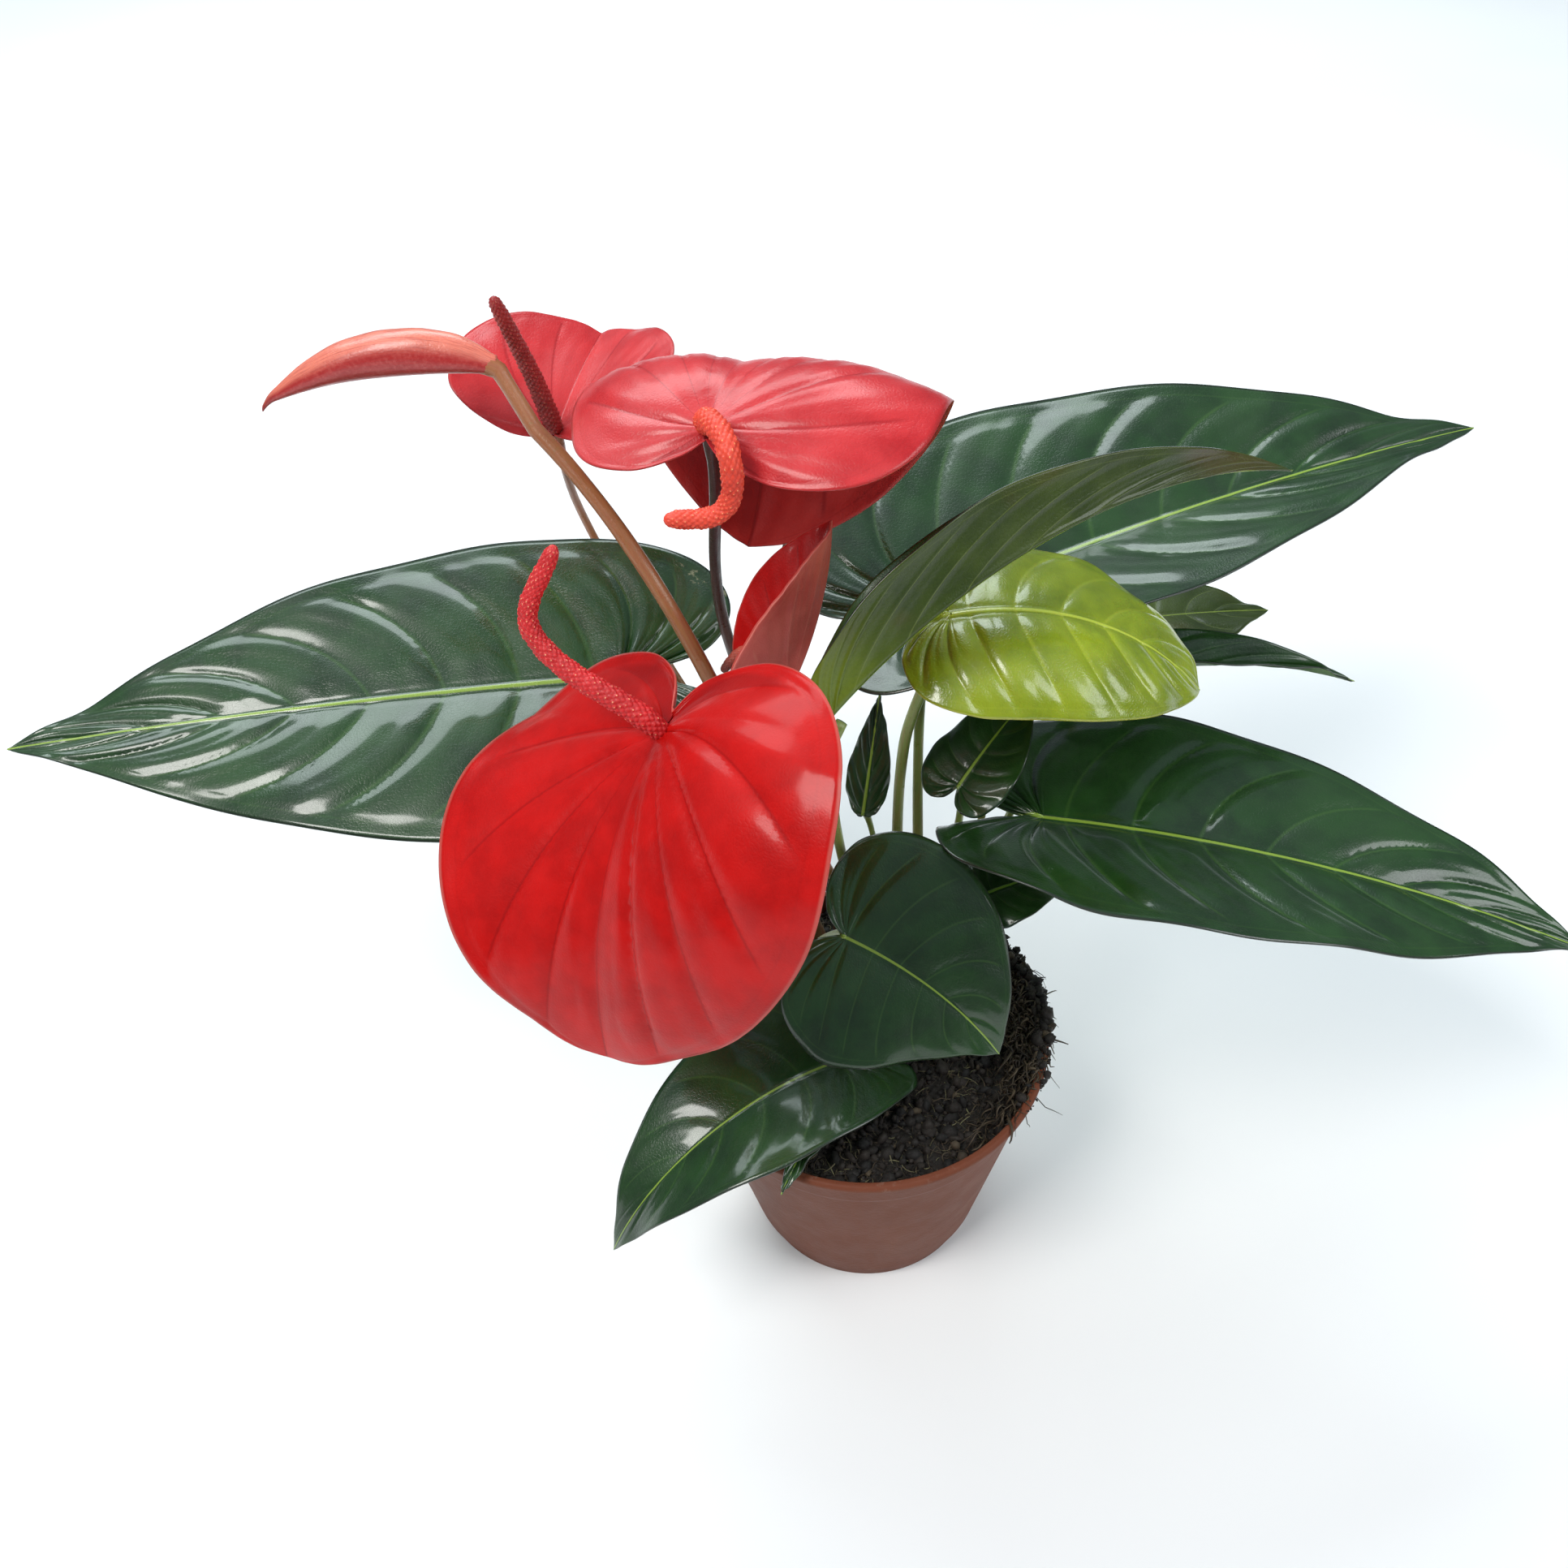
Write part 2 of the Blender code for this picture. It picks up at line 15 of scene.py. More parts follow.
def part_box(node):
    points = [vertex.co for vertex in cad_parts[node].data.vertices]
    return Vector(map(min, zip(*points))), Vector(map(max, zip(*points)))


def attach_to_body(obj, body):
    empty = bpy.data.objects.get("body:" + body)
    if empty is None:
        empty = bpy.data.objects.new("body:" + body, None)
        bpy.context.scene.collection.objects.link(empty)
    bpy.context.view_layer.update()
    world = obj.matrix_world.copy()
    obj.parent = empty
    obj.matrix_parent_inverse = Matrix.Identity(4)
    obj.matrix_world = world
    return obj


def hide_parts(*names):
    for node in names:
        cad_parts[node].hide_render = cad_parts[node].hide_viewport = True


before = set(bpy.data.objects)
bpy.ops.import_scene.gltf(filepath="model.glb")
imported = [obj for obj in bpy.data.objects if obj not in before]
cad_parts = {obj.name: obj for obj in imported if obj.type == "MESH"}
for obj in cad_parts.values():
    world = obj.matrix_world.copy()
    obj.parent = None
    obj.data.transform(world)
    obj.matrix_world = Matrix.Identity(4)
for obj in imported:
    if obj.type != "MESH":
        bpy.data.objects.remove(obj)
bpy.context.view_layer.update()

MM = 0.001
POT_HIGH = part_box("pot")[1]
RIM_HEIGHT = POT_HIGH.z
RIM_RADIUS = POT_HIGH.x
RNG = np.random.default_rng(7)

BLADE_THICKNESS = 0.55 * MM
CAD_THICKNESS = 0.9
CLEARANCE = 0.3
MIDRIB_STEPS = 24
LOBE_SHARE = 0.36
VEIN_BOW = 0.08  # how far a vein bends towards the tip on its way to the margin
VEIN_SHARPNESS = 0.55  # lower makes a narrower groove

# Half outlines from the sinus round the lobe to the tip: along over length, across over half width.
LEAF = [(-0.03, 0), (-0.14, 0.14), (-0.19, 0.42), (-0.14, 0.74), (0.02, 0.95), (0.18, 1),
        (0.36, 0.93), (0.55, 0.74), (0.73, 0.47), (0.87, 0.22), (0.95, 0.09), (1, 0)]
SPATHE = [(-0.06, 0), (-0.17, 0.12), (-0.24, 0.4), (-0.19, 0.72), (-0.02, 0.95), (0.18, 1),
          (0.4, 0.95), (0.61, 0.8), (0.79, 0.58), (0.91, 0.33), (0.97, 0.15), (1, 0)]
SHORT_SPATHE = [(-0.03, 0), (-0.09, 0.12), (-0.14, 0.4), (-0.11, 0.72), (0.02, 0.95), (0.2, 1),
                (0.41, 0.98), (0.61, 0.87), (0.79, 0.64), (0.91, 0.36), (0.97, 0.14), (1, 0)]
BLUNT_LEAF = [(-0.03, 0), (-0.14, 0.14), (-0.19, 0.42), (-0.14, 0.74), (0.02, 0.95), (0.18, 1),
              (0.38, 0.98), (0.58, 0.88), (0.76, 0.69), (0.89, 0.42), (0.96, 0.19), (1, 0)]
NARROW = [(-0.02, 0), (-0.02, 0.3), (0.04, 0.65), (0.15, 0.92), (0.3, 1), (0.46, 0.92),
          (0.62, 0.7), (0.77, 0.43), (0.89, 0.2), (0.96, 0.07), (1, 0)]


@dataclass
class Look:
    """How a blade's surface is worked, in millimetres.

    Veins is their number on each half, or the angles at which they leave the base.  Quilt is how
    far the blade stands up between them, wave how far its margin ripples, and rib the size of the
    midrib.
    """

    top: str
    under: str
    veins: object = 13
    quilt: float = 1.0
    wave: float = 1.5
    waves: float = 3.0
    rib: float = 0.7
    wrinkle: float = 0.0
    ribs: int = 150
    cells: int = 24


@dataclass
class Blade:
    """A leaf, spathe or bract.  It bends by droop and sweep from its base to its tip."""

    name: str
    outline: list
    attach: tuple
    heading: float
    pitch: float
    length: float
    width: float
    look: Look
    droop: float = 0
    sweep: float = 0
    roll: float = 0
    twist: float = 0
    fold: tuple = (6, 6)
    curl: tuple = (15, 15)
    uneven: float = 0


@dataclass
class Stem:
    name: str
    blade: str
    crown: str
    azimuth: float
    height: float
    radius: float
    finish: str
    lean: float = 10
    via: tuple = None
    arrive: float = 20


@dataclass
class Spadix:
    name: str
    blade: str
    route: list
    radius: float
    tip_radius: float
    finish: str


DARK = Look("leaf_green", "leaf_under", quilt=2.0, rib=0.9, ribs=220, cells=34)
SMALL = Look("leaf_green", "leaf_under", veins=9, quilt=0.7, wave=0.8, rib=0.5, ribs=110, cells=20)
RED = Look("spathe_red", "spathe_under", veins=(0, 17, 38, 62, 95, 140), quilt=1.9, wave=1.0, waves=2,
           rib=0.15, wrinkle=0.04, ribs=200, cells=36)
CORAL = replace(RED, top="spathe_coral", quilt=1.0, wrinkle=0.14)
SMOOTH = replace(CORAL, veins=(0, 30, 75, 140), quilt=0.5, wrinkle=0.05)
BUD = replace(RED, top="bud_red", under="bud_red", veins=(0, 40, 140), quilt=0.15, wave=0.2, wrinkle=0)
YOUNG = replace(RED, under="spathe_pale", veins=(0, 22, 50, 90, 140), quilt=0.5, wave=0.5, wrinkle=0.1,
                ribs=140, cells=28)
BRACT = Look("dry_bract", "dry_bract", veins=4, quilt=0.2, wave=0.5, rib=0.3, ribs=40, cells=8)

LEAVES = [
    Blade("leaf_left", LEAF, (-71, 60, 105), 182, 0, 190, 104, DARK, droop=6, roll=-15, curl=(20, 0)),
    Blade("leaf_back_right", LEAF, (29, 88, 103), 20, 8, 209, 110, DARK, droop=12, fold=(21, 15),
          curl=(5, 5), uneven=0.15),
    Blade("leaf_right", LEAF, (58, 28, 65), -11, -2, 172, 104, DARK, droop=17, sweep=-5, roll=-10,
          twist=18, fold=(10, 16), curl=(8, 8)),
    Blade("leaf_front", LEAF, (-6, -9, 58), -24, -15, 62, 75, replace(SMALL, veins=11, cells=20),
          droop=42, roll=45, curl=(12, 12)),
    Blade("leaf_front_left", LEAF, (-9, -18, 7), 209, 18, 101, 57, replace(SMALL, veins=11, cells=20),
          droop=82, fold=(12, 12), curl=(0, 0)),
    Blade("leaf_folded", NARROW, (-8, -1, 140), 27, 40, 162, 41, replace(DARK, under="leaf_olive",
          quilt=0.6, wave=1.0), droop=64, roll=-48, fold=(70, 65), curl=(10, 10)),
    Blade("leaf_lime", BLUNT_LEAF, (28, 42, 137), 2, 8, 84, 70, replace(DARK, top="leaf_lime",
          under="leaf_lime_under", veins=10, quilt=1.7, wave=1.0), droop=60, sweep=-12, fold=(8, 5),
          curl=(30, 60)),
    Blade("leaf_small_front", NARROW, (-14, -34, 4), 241, 20, 33, 12, SMALL, droop=40, fold=(20, 20),
          curl=(0, 0)),
    Blade("leaf_rear_right", LEAF, (96, 126, 59), 8, 0, 62, 54, replace(SMALL, top="leaf_olive"),
          droop=10),
    Blade("leaf_thin_right", NARROW, (75, 84, 67), -4, 24, 96, 26, SMALL, droop=45, fold=(50, 50)),
    Blade("leaf_centre", LEAF, (32, 33, 77), 45, 30, 40, 30, SMALL, droop=20),
    Blade("leaf_narrow_centre", NARROW, (3, 44, 55), 70, 60, 40, 14, SMALL),
    Blade("leaf_low_right", LEAF, (36, 8, 53), 20, 5, 34, 28, SMALL, droop=20),
]

SPATHES = [
    Blade("spathe_front", SPATHE, (-52, -14, 151), -125, -20, 98, 128, RED, droop=75, sweep=28, roll=32,
          twist=-20, fold=(8, 5), curl=(45, 0)),
    Blade("spathe_top", SHORT_SPATHE, (-36, 38, 206), 72, 31, 103, 103, CORAL, droop=194, fold=(8, 14),
          curl=(45, 35), uneven=-0.12),
    Blade("spathe_rear_left", SHORT_SPATHE, (-84, 104, 165), 72, 22, 43, 75, SMOOTH, droop=20, fold=(34,
          30), curl=(10, 10), uneven=-0.05),
    Blade("spathe_rolled", NARROW, (-97, 80, 200), 176, 6, 66, 30, BUD, droop=28, roll=35, fold=(5, 5),
          curl=(-155, -155)),
    Blade("spathe_young", SHORT_SPATHE, (-19, 27, 125), 45, 46, 50, 56, YOUNG, droop=0, sweep=40,
          roll=-50, fold=(40, 40), curl=(-10, -10), uneven=-0.1),
]

BRACTS = [
    Blade("bract_front", NARROW, (-20, -32, -2), 200, 35, 12, 8, BRACT, fold=(30, 30)),
    Blade("bract_main", NARROW, (-3, 13, 2), -75, 75, 26, 10, BRACT, fold=(30, 30)),
    Blade("bract_right", NARROW, (16, 17, 0), -100, 75, 22, 9, BRACT, fold=(30, 30)),
]

STEMS = [
    Stem("petiole_left", "leaf_left", "crown_main", 180, 0, 1.7, "petiole", 20),
    Stem("petiole_back_right", "leaf_back_right", "crown_right", 72, -2, 1.8, "petiole", 5),
    Stem("petiole_right", "leaf_right", "crown_right", -28, -2, 1.8, "petiole", 20),
    Stem("petiole_front", "leaf_front", "crown_main", -130, -2, 1.4, "petiole", 10, (-15, 4, 38)),
    Stem("petiole_front_left", "leaf_front_left", "crown_main", -103, -1, 1.2, "petiole", 50),
    Stem("petiole_folded", "leaf_folded", "crown_main", -20, 0, 1.6, "petiole", -5, (-8, 10, 92),
         arrive=80),
    Stem("petiole_lime", "leaf_lime", "crown_right", 115, 0, 1.8, "petiole", 0, (15, 38, 90)),
    Stem("petiole_small_front", "leaf_small_front", "crown_front", -90, -2, 0.9, "petiole", 0),
    Stem("petiole_rear_right", "leaf_rear_right", "crown_right", 21, 0, 1.4, "petiole", 30),
    Stem("petiole_thin_right", "leaf_thin_right", "crown_right", -3, 0, 1.3, "petiole", 30,
         (56, 86, 48)),
    Stem("petiole_centre", "leaf_centre", "crown_right", 45, 0, 1.3, "petiole", 0),
    Stem("petiole_narrow_centre", "leaf_narrow_centre", "crown_right", 172, 0, 1.0, "petiole", 0),
    Stem("petiole_low_right", "leaf_low_right", "crown_right", -55, 0, 1.2, "petiole", 10),
    Stem("peduncle_front", "spathe_front", "crown_main", 212, 0, 1.8, "peduncle", 15),
    Stem("peduncle_top", "spathe_top", "crown_main", 88, 0, 1.8, "peduncle_dark", 5, (-37, 66, 116)),
    Stem("peduncle_rear_left", "spathe_rear_left", "crown_main", 118, 0, 1.4, "peduncle", 35,
         (-79, 119, 112)),
    Stem("peduncle_rolled", "spathe_rolled", "crown_main", 148, 0, 2.4, "peduncle", 8, (-46, 38, 135),
         arrive=55),
    Stem("peduncle_young", "spathe_young", "crown_main", 58, 0, 1.5, "peduncle", 0, arrive=75),
]

SPADICES = [
    Spadix("spadix_front", "spathe_front", [(-82, -2, 176), (-74, 5, 197)], 3.2, 2.2, "spadix_red"),
    Spadix("spadix_top", "spathe_top", [(-31, 20, 211), (-33, 17, 196), (-48, 15, 195)], 3.2, 2.4,
           "spadix_orange"),
    Spadix("spadix_rear_left", "spathe_rear_left", [(-87, 97, 188), (-92, 84, 220)], 3, 2,
           "spadix_maroon"),
    Spadix("spadix_young", "spathe_young", [(-30, 35, 134), (-38, 34, 128)], 2, 1.4, "spadix_orange"),
]

# Each crown: its place from the pot's axis and radius in millimetres, and its top from the rim.
CROWNS = {"crown_main": (-6, 24, 8, 4), "crown_right": (18, 28, 7, 2), "crown_front": (-13, -27, 4, -1)}


# ---------------------------------------------------------------- shader helpers

SOCKETS = {
    "base": "Base Color", "rough": "Roughness", "specular": "Specular IOR Level", "normal": "Normal",
    "coat": "Coat Weight", "coat_rough": "Coat Roughness", "sss": "Subsurface Weight",
    "sss_radius": "Subsurface Radius", "sss_scale": "Subsurface Scale",
}
SKIN_GLOW = dict(sss_radius=(1.0, 0.25, 0.12), sss_scale=0.002)
SPIKE_GLOW = dict(sss_radius=(1.0, 0.3, 0.15), sss_scale=0.002)
MARGIN_VEIN = 0.905  # place of the collective vein, as a share of the way to the margin


class Shader:
    """A new material, and short ways to add its nodes and link them."""

    def __init__(self, name):
        self.material = bpy.data.materials.new(name)
        self.material.use_nodes = True
        self.tree = self.material.node_tree
        self.out = self.tree.nodes["Principled BSDF"]

    def put(self, socket, value):
        if isinstance(value, bpy.types.NodeSocket):
            self.tree.links.new(value, socket)
        else:
            socket.default_value = (*value, 1) if socket.type == "RGBA" else value

    def node(self, kind, inputs, output=0, **settings):
        """An output of a new node, with its inputs set or linked."""
        made = self.tree.nodes.new(kind)
        for name, value in settings.items():
            setattr(made, name, value)
        for key, value in inputs.items():
            self.put(made.inputs[key], value)
        return made.outputs[output]

    def set(self, **values):
        for key, value in values.items():
            self.put(self.out.inputs[SOCKETS[key]], value)
        return self.material

    def attribute(self, name):
        return self.node("ShaderNodeAttribute", {}, "Fac", attribute_name=name)

    def math(self, operation, a, b=0.0, clamp=False):
        return self.node("ShaderNodeMath", {0: a, 1: b}, operation=operation, use_clamp=clamp)

    def times(self, a, b):
        return self.math("MULTIPLY", a, b)

    def plus(self, a, b):
        return self.math("ADD", a, b)

    def ramp(self, value, start, end, low=0.0, high=1.0):
        """Value smoothly mapped from start..end to low..high."""
        limits = {"Value": value, "From Min": start, "From Max": end, "To Min": low, "To Max": high}
        return self.node("ShaderNodeMapRange", limits, "Result", interpolation_type="SMOOTHSTEP")

    def mix(self, factor, first, second):
        return self.node("ShaderNodeMix", {0: factor, 6: first, 7: second}, 2, data_type="RGBA")

    def place(self, scale=(1, 1, 1)):
        start = self.node("ShaderNodeTexCoord", {}, "Object")
        return self.node("ShaderNodeMapping", {"Vector": start, "Scale": scale})

    def noise(self, scale, detail=3.0, rough=0.55, vector=None, distortion=0.0):
        inputs = {"Vector": vector or self.place(), "Scale": scale, "Detail": detail,
                  "Roughness": rough, "Distortion": distortion}
        return self.node("ShaderNodeTexNoise", inputs, "Fac")

    def patches(self, scale, detail, start, end, low=0.0, high=1.0, **settings):
        """Noise smoothly mapped from start..end to low..high."""
        return self.ramp(self.noise(scale, detail, **settings), start, end, low, high)

    def voronoi(self, scale, feature="F1", vector=None):
        inputs = {"Vector": vector or self.place(), "Scale": scale}
        return self.node("ShaderNodeTexVoronoi", inputs, "Distance", feature=feature)

    def combine(self, x, y):
        return self.node("ShaderNodeCombineXYZ", {0: x, 1: y})

    def bump(self, height, strength, distance):
        inputs = {"Height": height, "Strength": strength, "Distance": distance}
        return self.node("ShaderNodeBump", inputs)


def vein_line(s, width):
    """1 on a lateral vein and 0 away from it, from the blade's vein coordinate."""
    off = s.math("ABSOLUTE", s.math("SUBTRACT", s.math("FRACT", s.attribute("vein")), 0.5))
    return s.ramp(off, 0.5 - width, 0.5)


def blade_material(name, dark, light, vein, rib, edge, rough=0.3, coat=0.4, coat_rough=0.12,
                   vein_strength=0.35, vein_width=0.05, mottle=70.0, net=0.03, sss=0.0, patch=None,
                   patch_amount=0.0, base=None, collective=0.4, specular=0.5, scuff=0.0):
    """A leaf or spathe: mottled skin, vein lines, a midrib that fades to the tip, and a thin margin."""
    s = Shader(name)
    along, across, rim = (s.attribute(key) for key in ("along", "across", "rim"))
    colour = s.mix(s.patches(mottle, 4.0, 0.3, 0.7), dark, light)
    if patch:
        spread = s.patches(22.0, 3.0, 0.48, 0.7, 0.0, patch_amount, distortion=0.6)
        colour = s.mix(spread, colour, patch)
    if base:
        colour = s.mix(s.ramp(along, -6.0, 34.0, 0.9, 0.0), colour, base)
    colour = s.mix(s.patches(1100.0, 2.0, 0.35, 0.75, 0.0, 0.2), colour, light)
    off_margin = s.math("ABSOLUTE", s.math("SUBTRACT", rim, MARGIN_VEIN))
    lines = s.math("MAXIMUM", s.times(vein_line(s, vein_width), s.ramp(rim, 0.8, 0.9, 1.0, 0.0)),
                   s.times(s.ramp(off_margin, 0.003, 0.009, 1.0, 0.0), collective))
    colour = s.mix(s.times(lines, vein_strength), colour, vein)
    off_rib = s.math("DIVIDE", s.math("ABSOLUTE", across), s.attribute("rib"))
    colour = s.mix(s.ramp(off_rib, 0.55, 1.15, 0.9, 0.0), colour, rib)
    colour = s.mix(s.ramp(rim, 0.98, 0.993, 0.0, 0.85), colour, edge)
    if scuff:
        worn = s.times(s.patches(38.0, 6.0, 0.66, 0.70, 0.0, scuff, rough=0.7), s.ramp(rim, 0.78, 0.9))
        colour = s.mix(worn, colour, (0.34, 0.33, 0.20))
    cells = s.voronoi(0.9, "DISTANCE_TO_EDGE", s.combine(along, across))
    height = s.plus(s.times(s.ramp(cells, 0.0, 0.25), net), s.times(s.noise(1500.0, 2.0), 0.02))
    height = s.plus(height, s.times(s.noise(160.0, 3.0), 0.06))
    s.set(base=colour, rough=s.patches(60.0, 4.0, 0.25, 0.75, rough - 0.06, rough + 0.1), coat=coat,
          coat_rough=coat_rough, normal=s.bump(height, 1.0, 0.001), specular=specular)
    if sss:
        s.set(sss=sss, **SKIN_GLOW)
    return s.material


def bud_material():
    """A rolled spathe: red below, with a coral highlight painted along its top, and long faint veins
    from end to end.
    """
    s = Shader("bud_red")
    along, turn = s.attribute("along"), s.attribute("around")
    # Painted highlight: back is the bud's upper side, where around is near 1. It is mixed towards light
    # coral to stand in for the light falling there.
    back = s.ramp(s.plus(turn, s.times(s.noise(55.0, 3.0), 0.25)), 0.42, 0.82)
    colour = s.mix(back, (0.40, 0.018, 0.017), (0.74, 0.20, 0.13))
    streaks = s.noise(3.0, 4.0, vector=s.combine(s.times(along, 0.05), s.times(turn, 9.0)))
    colour = s.mix(s.ramp(streaks, 0.42, 0.7, 0.0, 0.5), colour, (0.30, 0.010, 0.012))
    colour = s.mix(s.patches(900.0, 2.0, 0.4, 0.75, 0.0, 0.25), colour, (0.64, 0.15, 0.12))
    colour = s.mix(s.ramp(along, 58.0, 67.0, 0.0, 0.7), colour, (0.20, 0.02, 0.015))
    height = s.plus(s.times(streaks, 0.5), s.noise(1300.0, 2.0))
    return s.set(base=colour, rough=s.patches(120.0, 3.0, 0.3, 0.7, 0.30, 0.42), coat=0.35,
                 coat_rough=0.2, sss=0.1, normal=s.bump(height, 0.3, 0.0004), **SKIN_GLOW)


def stem_material(name, low, high, blush):
    """Colour runs from the foot of the stem to its top, with long streaks and a few specks."""
    s = Shader(name)
    along = s.attribute("along")
    colour = s.mix(s.ramp(along, 0.0, 0.9), low, high)
    flat = s.combine(s.times(along, 3.0), s.attribute("around"))
    colour = s.mix(s.patches(6.0, 4.0, 0.4, 0.75, 0.0, 0.6, vector=flat), colour, blush)
    colour = s.mix(s.patches(900.0, 2.0, 0.6, 0.72, 0.0, 0.4, rough=0.6), colour, low)
    height = s.plus(s.noise(1400.0, 2.0), s.times(s.noise(9.0, 3.0, vector=flat), 1.5))
    return s.set(base=colour, rough=s.patches(200.0, 3.0, 0.3, 0.7, 0.27, 0.45), coat=0.25,
                 coat_rough=0.25, normal=s.bump(height, 0.3, 0.0004))


def spadix_material(name, dark, light, dot, tip=None):
    """Each small flower is a low pimple, and some of them show a pale point."""
    s = Shader(name)
    pimple = s.attribute("dot")
    colour = s.mix(s.ramp(pimple, 0.0, 0.4, 0.45, 1.0), dark, light)
    colour = s.mix(s.patches(150.0, 3.0, 0.4, 0.7, 0.0, 0.5), colour, dark)
    points = s.times(s.ramp(pimple, 0.84, 0.95, 0.0, 0.85), s.ramp(s.attribute("tone"), 0.55, 0.7))
    colour = s.mix(points, colour, dot)
    if tip:
        colour = s.mix(s.ramp(s.attribute("along"), 0.55, 0.95, 0.0, 0.9), colour, tip)
    return s.set(base=colour, rough=s.patches(500.0, 3.0, 0.3, 0.7, 0.42, 0.6), coat=0.12,
                 coat_rough=0.3, sss=0.12, normal=s.bump(s.noise(2500.0, 3.0), 0.25, 0.0003),
                 **SPIKE_GLOW)


# Each skin's colours (dark, light, vein, midrib, margin) and what it sets apart from the defaults.
SKINS = {
    "leaf_green": (
        [(0.0045, 0.023, 0.003), (0.010, 0.046, 0.006), (0.05, 0.12, 0.02), (0.24, 0.36, 0.04),
         (0.006, 0.012, 0.004)],
        dict(rough=0.36, coat=0.7, patch=(0.020, 0.066, 0.012), patch_amount=0.5, specular=0.35,
             scuff=0.7)),
    "leaf_under": (
        [(0.05, 0.12, 0.03), (0.08, 0.17, 0.045), (0.16, 0.26, 0.08), (0.28, 0.38, 0.12),
         (0.10, 0.16, 0.04)],
        dict(rough=0.5, coat=0.1, coat_rough=0.3, vein_strength=0.7)),
    "leaf_olive": (
        [(0.024, 0.042, 0.004), (0.042, 0.066, 0.007), (0.15, 0.19, 0.04), (0.22, 0.29, 0.04),
         (0.06, 0.08, 0.015)],
        dict(rough=0.4, coat=0.3, coat_rough=0.16, vein_strength=0.45, vein_width=0.035,
             patch=(0.062, 0.038, 0.006), patch_amount=0.8, base=(0.15, 0.21, 0.012), specular=0.3)),
    "leaf_lime": (
        [(0.15, 0.21, 0.003), (0.25, 0.32, 0.006), (0.40, 0.46, 0.03), (0.46, 0.54, 0.05),
         (0.36, 0.38, 0.03)],
        dict(coat=0.6, coat_rough=0.13, vein_strength=0.3, vein_width=0.08, sss=0.08,
             patch=(0.13, 0.15, 0.004), patch_amount=0.5)),
    "leaf_lime_under": (
        [(0.22, 0.28, 0.02), (0.30, 0.36, 0.035), (0.40, 0.45, 0.07), (0.40, 0.46, 0.09),
         (0.38, 0.38, 0.04)],
        dict(rough=0.5, coat=0.1, vein_strength=0.5)),
    "spathe_red": (
        [(0.37, 0.0028, 0.0024), (0.50, 0.0045, 0.0035), (0.27, 0.0015, 0.002), (0.36, 0.004, 0.005),
         (0.55, 0.10, 0.08)],
        dict(rough=0.42, coat=0.2, coat_rough=0.15, vein_strength=0.6, vein_width=0.035, mottle=90.0,
             net=0.02, sss=0.05, patch=(0.56, 0.008, 0.007), patch_amount=0.5, collective=0.2,
             specular=0.12)),
    "spathe_coral": (
        [(0.42, 0.012, 0.016), (0.56, 0.030, 0.034), (0.30, 0.006, 0.010), (0.40, 0.02, 0.028),
         (0.46, 0.03, 0.03)],
        dict(rough=0.36, coat=0.28, coat_rough=0.2, vein_strength=0.6, sss=0.08,
             patch=(0.58, 0.075, 0.080), patch_amount=0.8, collective=0.2, specular=0.25)),
    "spathe_under": (
        [(0.36, 0.008, 0.008), (0.50, 0.020, 0.016), (0.26, 0.004, 0.005), (0.40, 0.05, 0.03),
         (0.50, 0.05, 0.04)],
        dict(rough=0.45, coat=0.1, coat_rough=0.25, vein_strength=0.6, sss=0.1,
             patch=(0.62, 0.055, 0.045), patch_amount=0.7, specular=0.35)),
    "spathe_pale": (
        [(0.46, 0.055, 0.040), (0.58, 0.10, 0.075), (0.60, 0.17, 0.13), (0.62, 0.20, 0.15),
         (0.66, 0.22, 0.17)],
        dict(rough=0.45, coat=0.12, coat_rough=0.3, vein_strength=0.4, net=0.02, sss=0.12,
             patch=(0.40, 0.02, 0.016), patch_amount=0.6)),
    "dry_bract": (
        [(0.12, 0.045, 0.02), (0.22, 0.10, 0.05), (0.30, 0.17, 0.10), (0.30, 0.18, 0.09),
         (0.34, 0.22, 0.14)],
        dict(rough=0.6, coat=0.0, vein_strength=0.6, net=0.15)),
}

# Colours of the foot, the top and the streaks.
STEM_SKINS = {
    "petiole": [(0.14, 0.12, 0.03), (0.20, 0.28, 0.06), (0.24, 0.16, 0.05)],
    "peduncle": [(0.22, 0.15, 0.05), (0.34, 0.13, 0.05), (0.30, 0.07, 0.03)],
    "peduncle_dark": [(0.10, 0.05, 0.025), (0.05, 0.012, 0.012), (0.09, 0.02, 0.018)],
}

# Colours between the flowers, of the flowers and of their points, and for one spike its tip.
SPIKE_SKINS = {
    "spadix_red": [(0.38, 0.004, 0.006), (0.60, 0.012, 0.014), (0.85, 0.42, 0.22)],
    "spadix_orange": [(0.52, 0.02, 0.008), (0.75, 0.06, 0.025), (0.90, 0.42, 0.18)],
    "spadix_young": [(0.50, 0.04, 0.02), (0.66, 0.12, 0.06), (0.80, 0.36, 0.18), (0.06, 0.012, 0.01)],
    "spadix_maroon": [(0.20, 0.008, 0.008), (0.34, 0.02, 0.018), (0.60, 0.22, 0.12)],
}


def make_materials():
    made = {name: blade_material(name, *colours, **finish)
            for name, (colours, finish) in SKINS.items()}
    made["bud_red"] = bud_material()
    made.update((name, stem_material(name, *colours)) for name, colours in STEM_SKINS.items())
    made.update((name, spadix_material(name, *colours)) for name, colours in SPIKE_SKINS.items())
    return made


# ---------------------------------------------------------------- blade surfaces

def circle(count):
    return np.linspace(0, math.tau, count, endpoint=False)


def hump(value, middle, width):
    """1 at the middle, falling away smoothly on both sides."""
    return np.exp(-((value - middle) / width) ** 2)


def rise(value, start, span):
    """0 up to the start, then straight up to 1."""
    return np.clip((value - start) / span, 0, 1)


def directions(azimuth, elevation):
    azimuth, elevation = np.radians(azimuth), np.radians(elevation)
    return np.stack([np.cos(elevation) * np.cos(azimuth), np.cos(elevation) * np.sin(azimuth),
                     np.sin(elevation) + 0 * azimuth], -1)


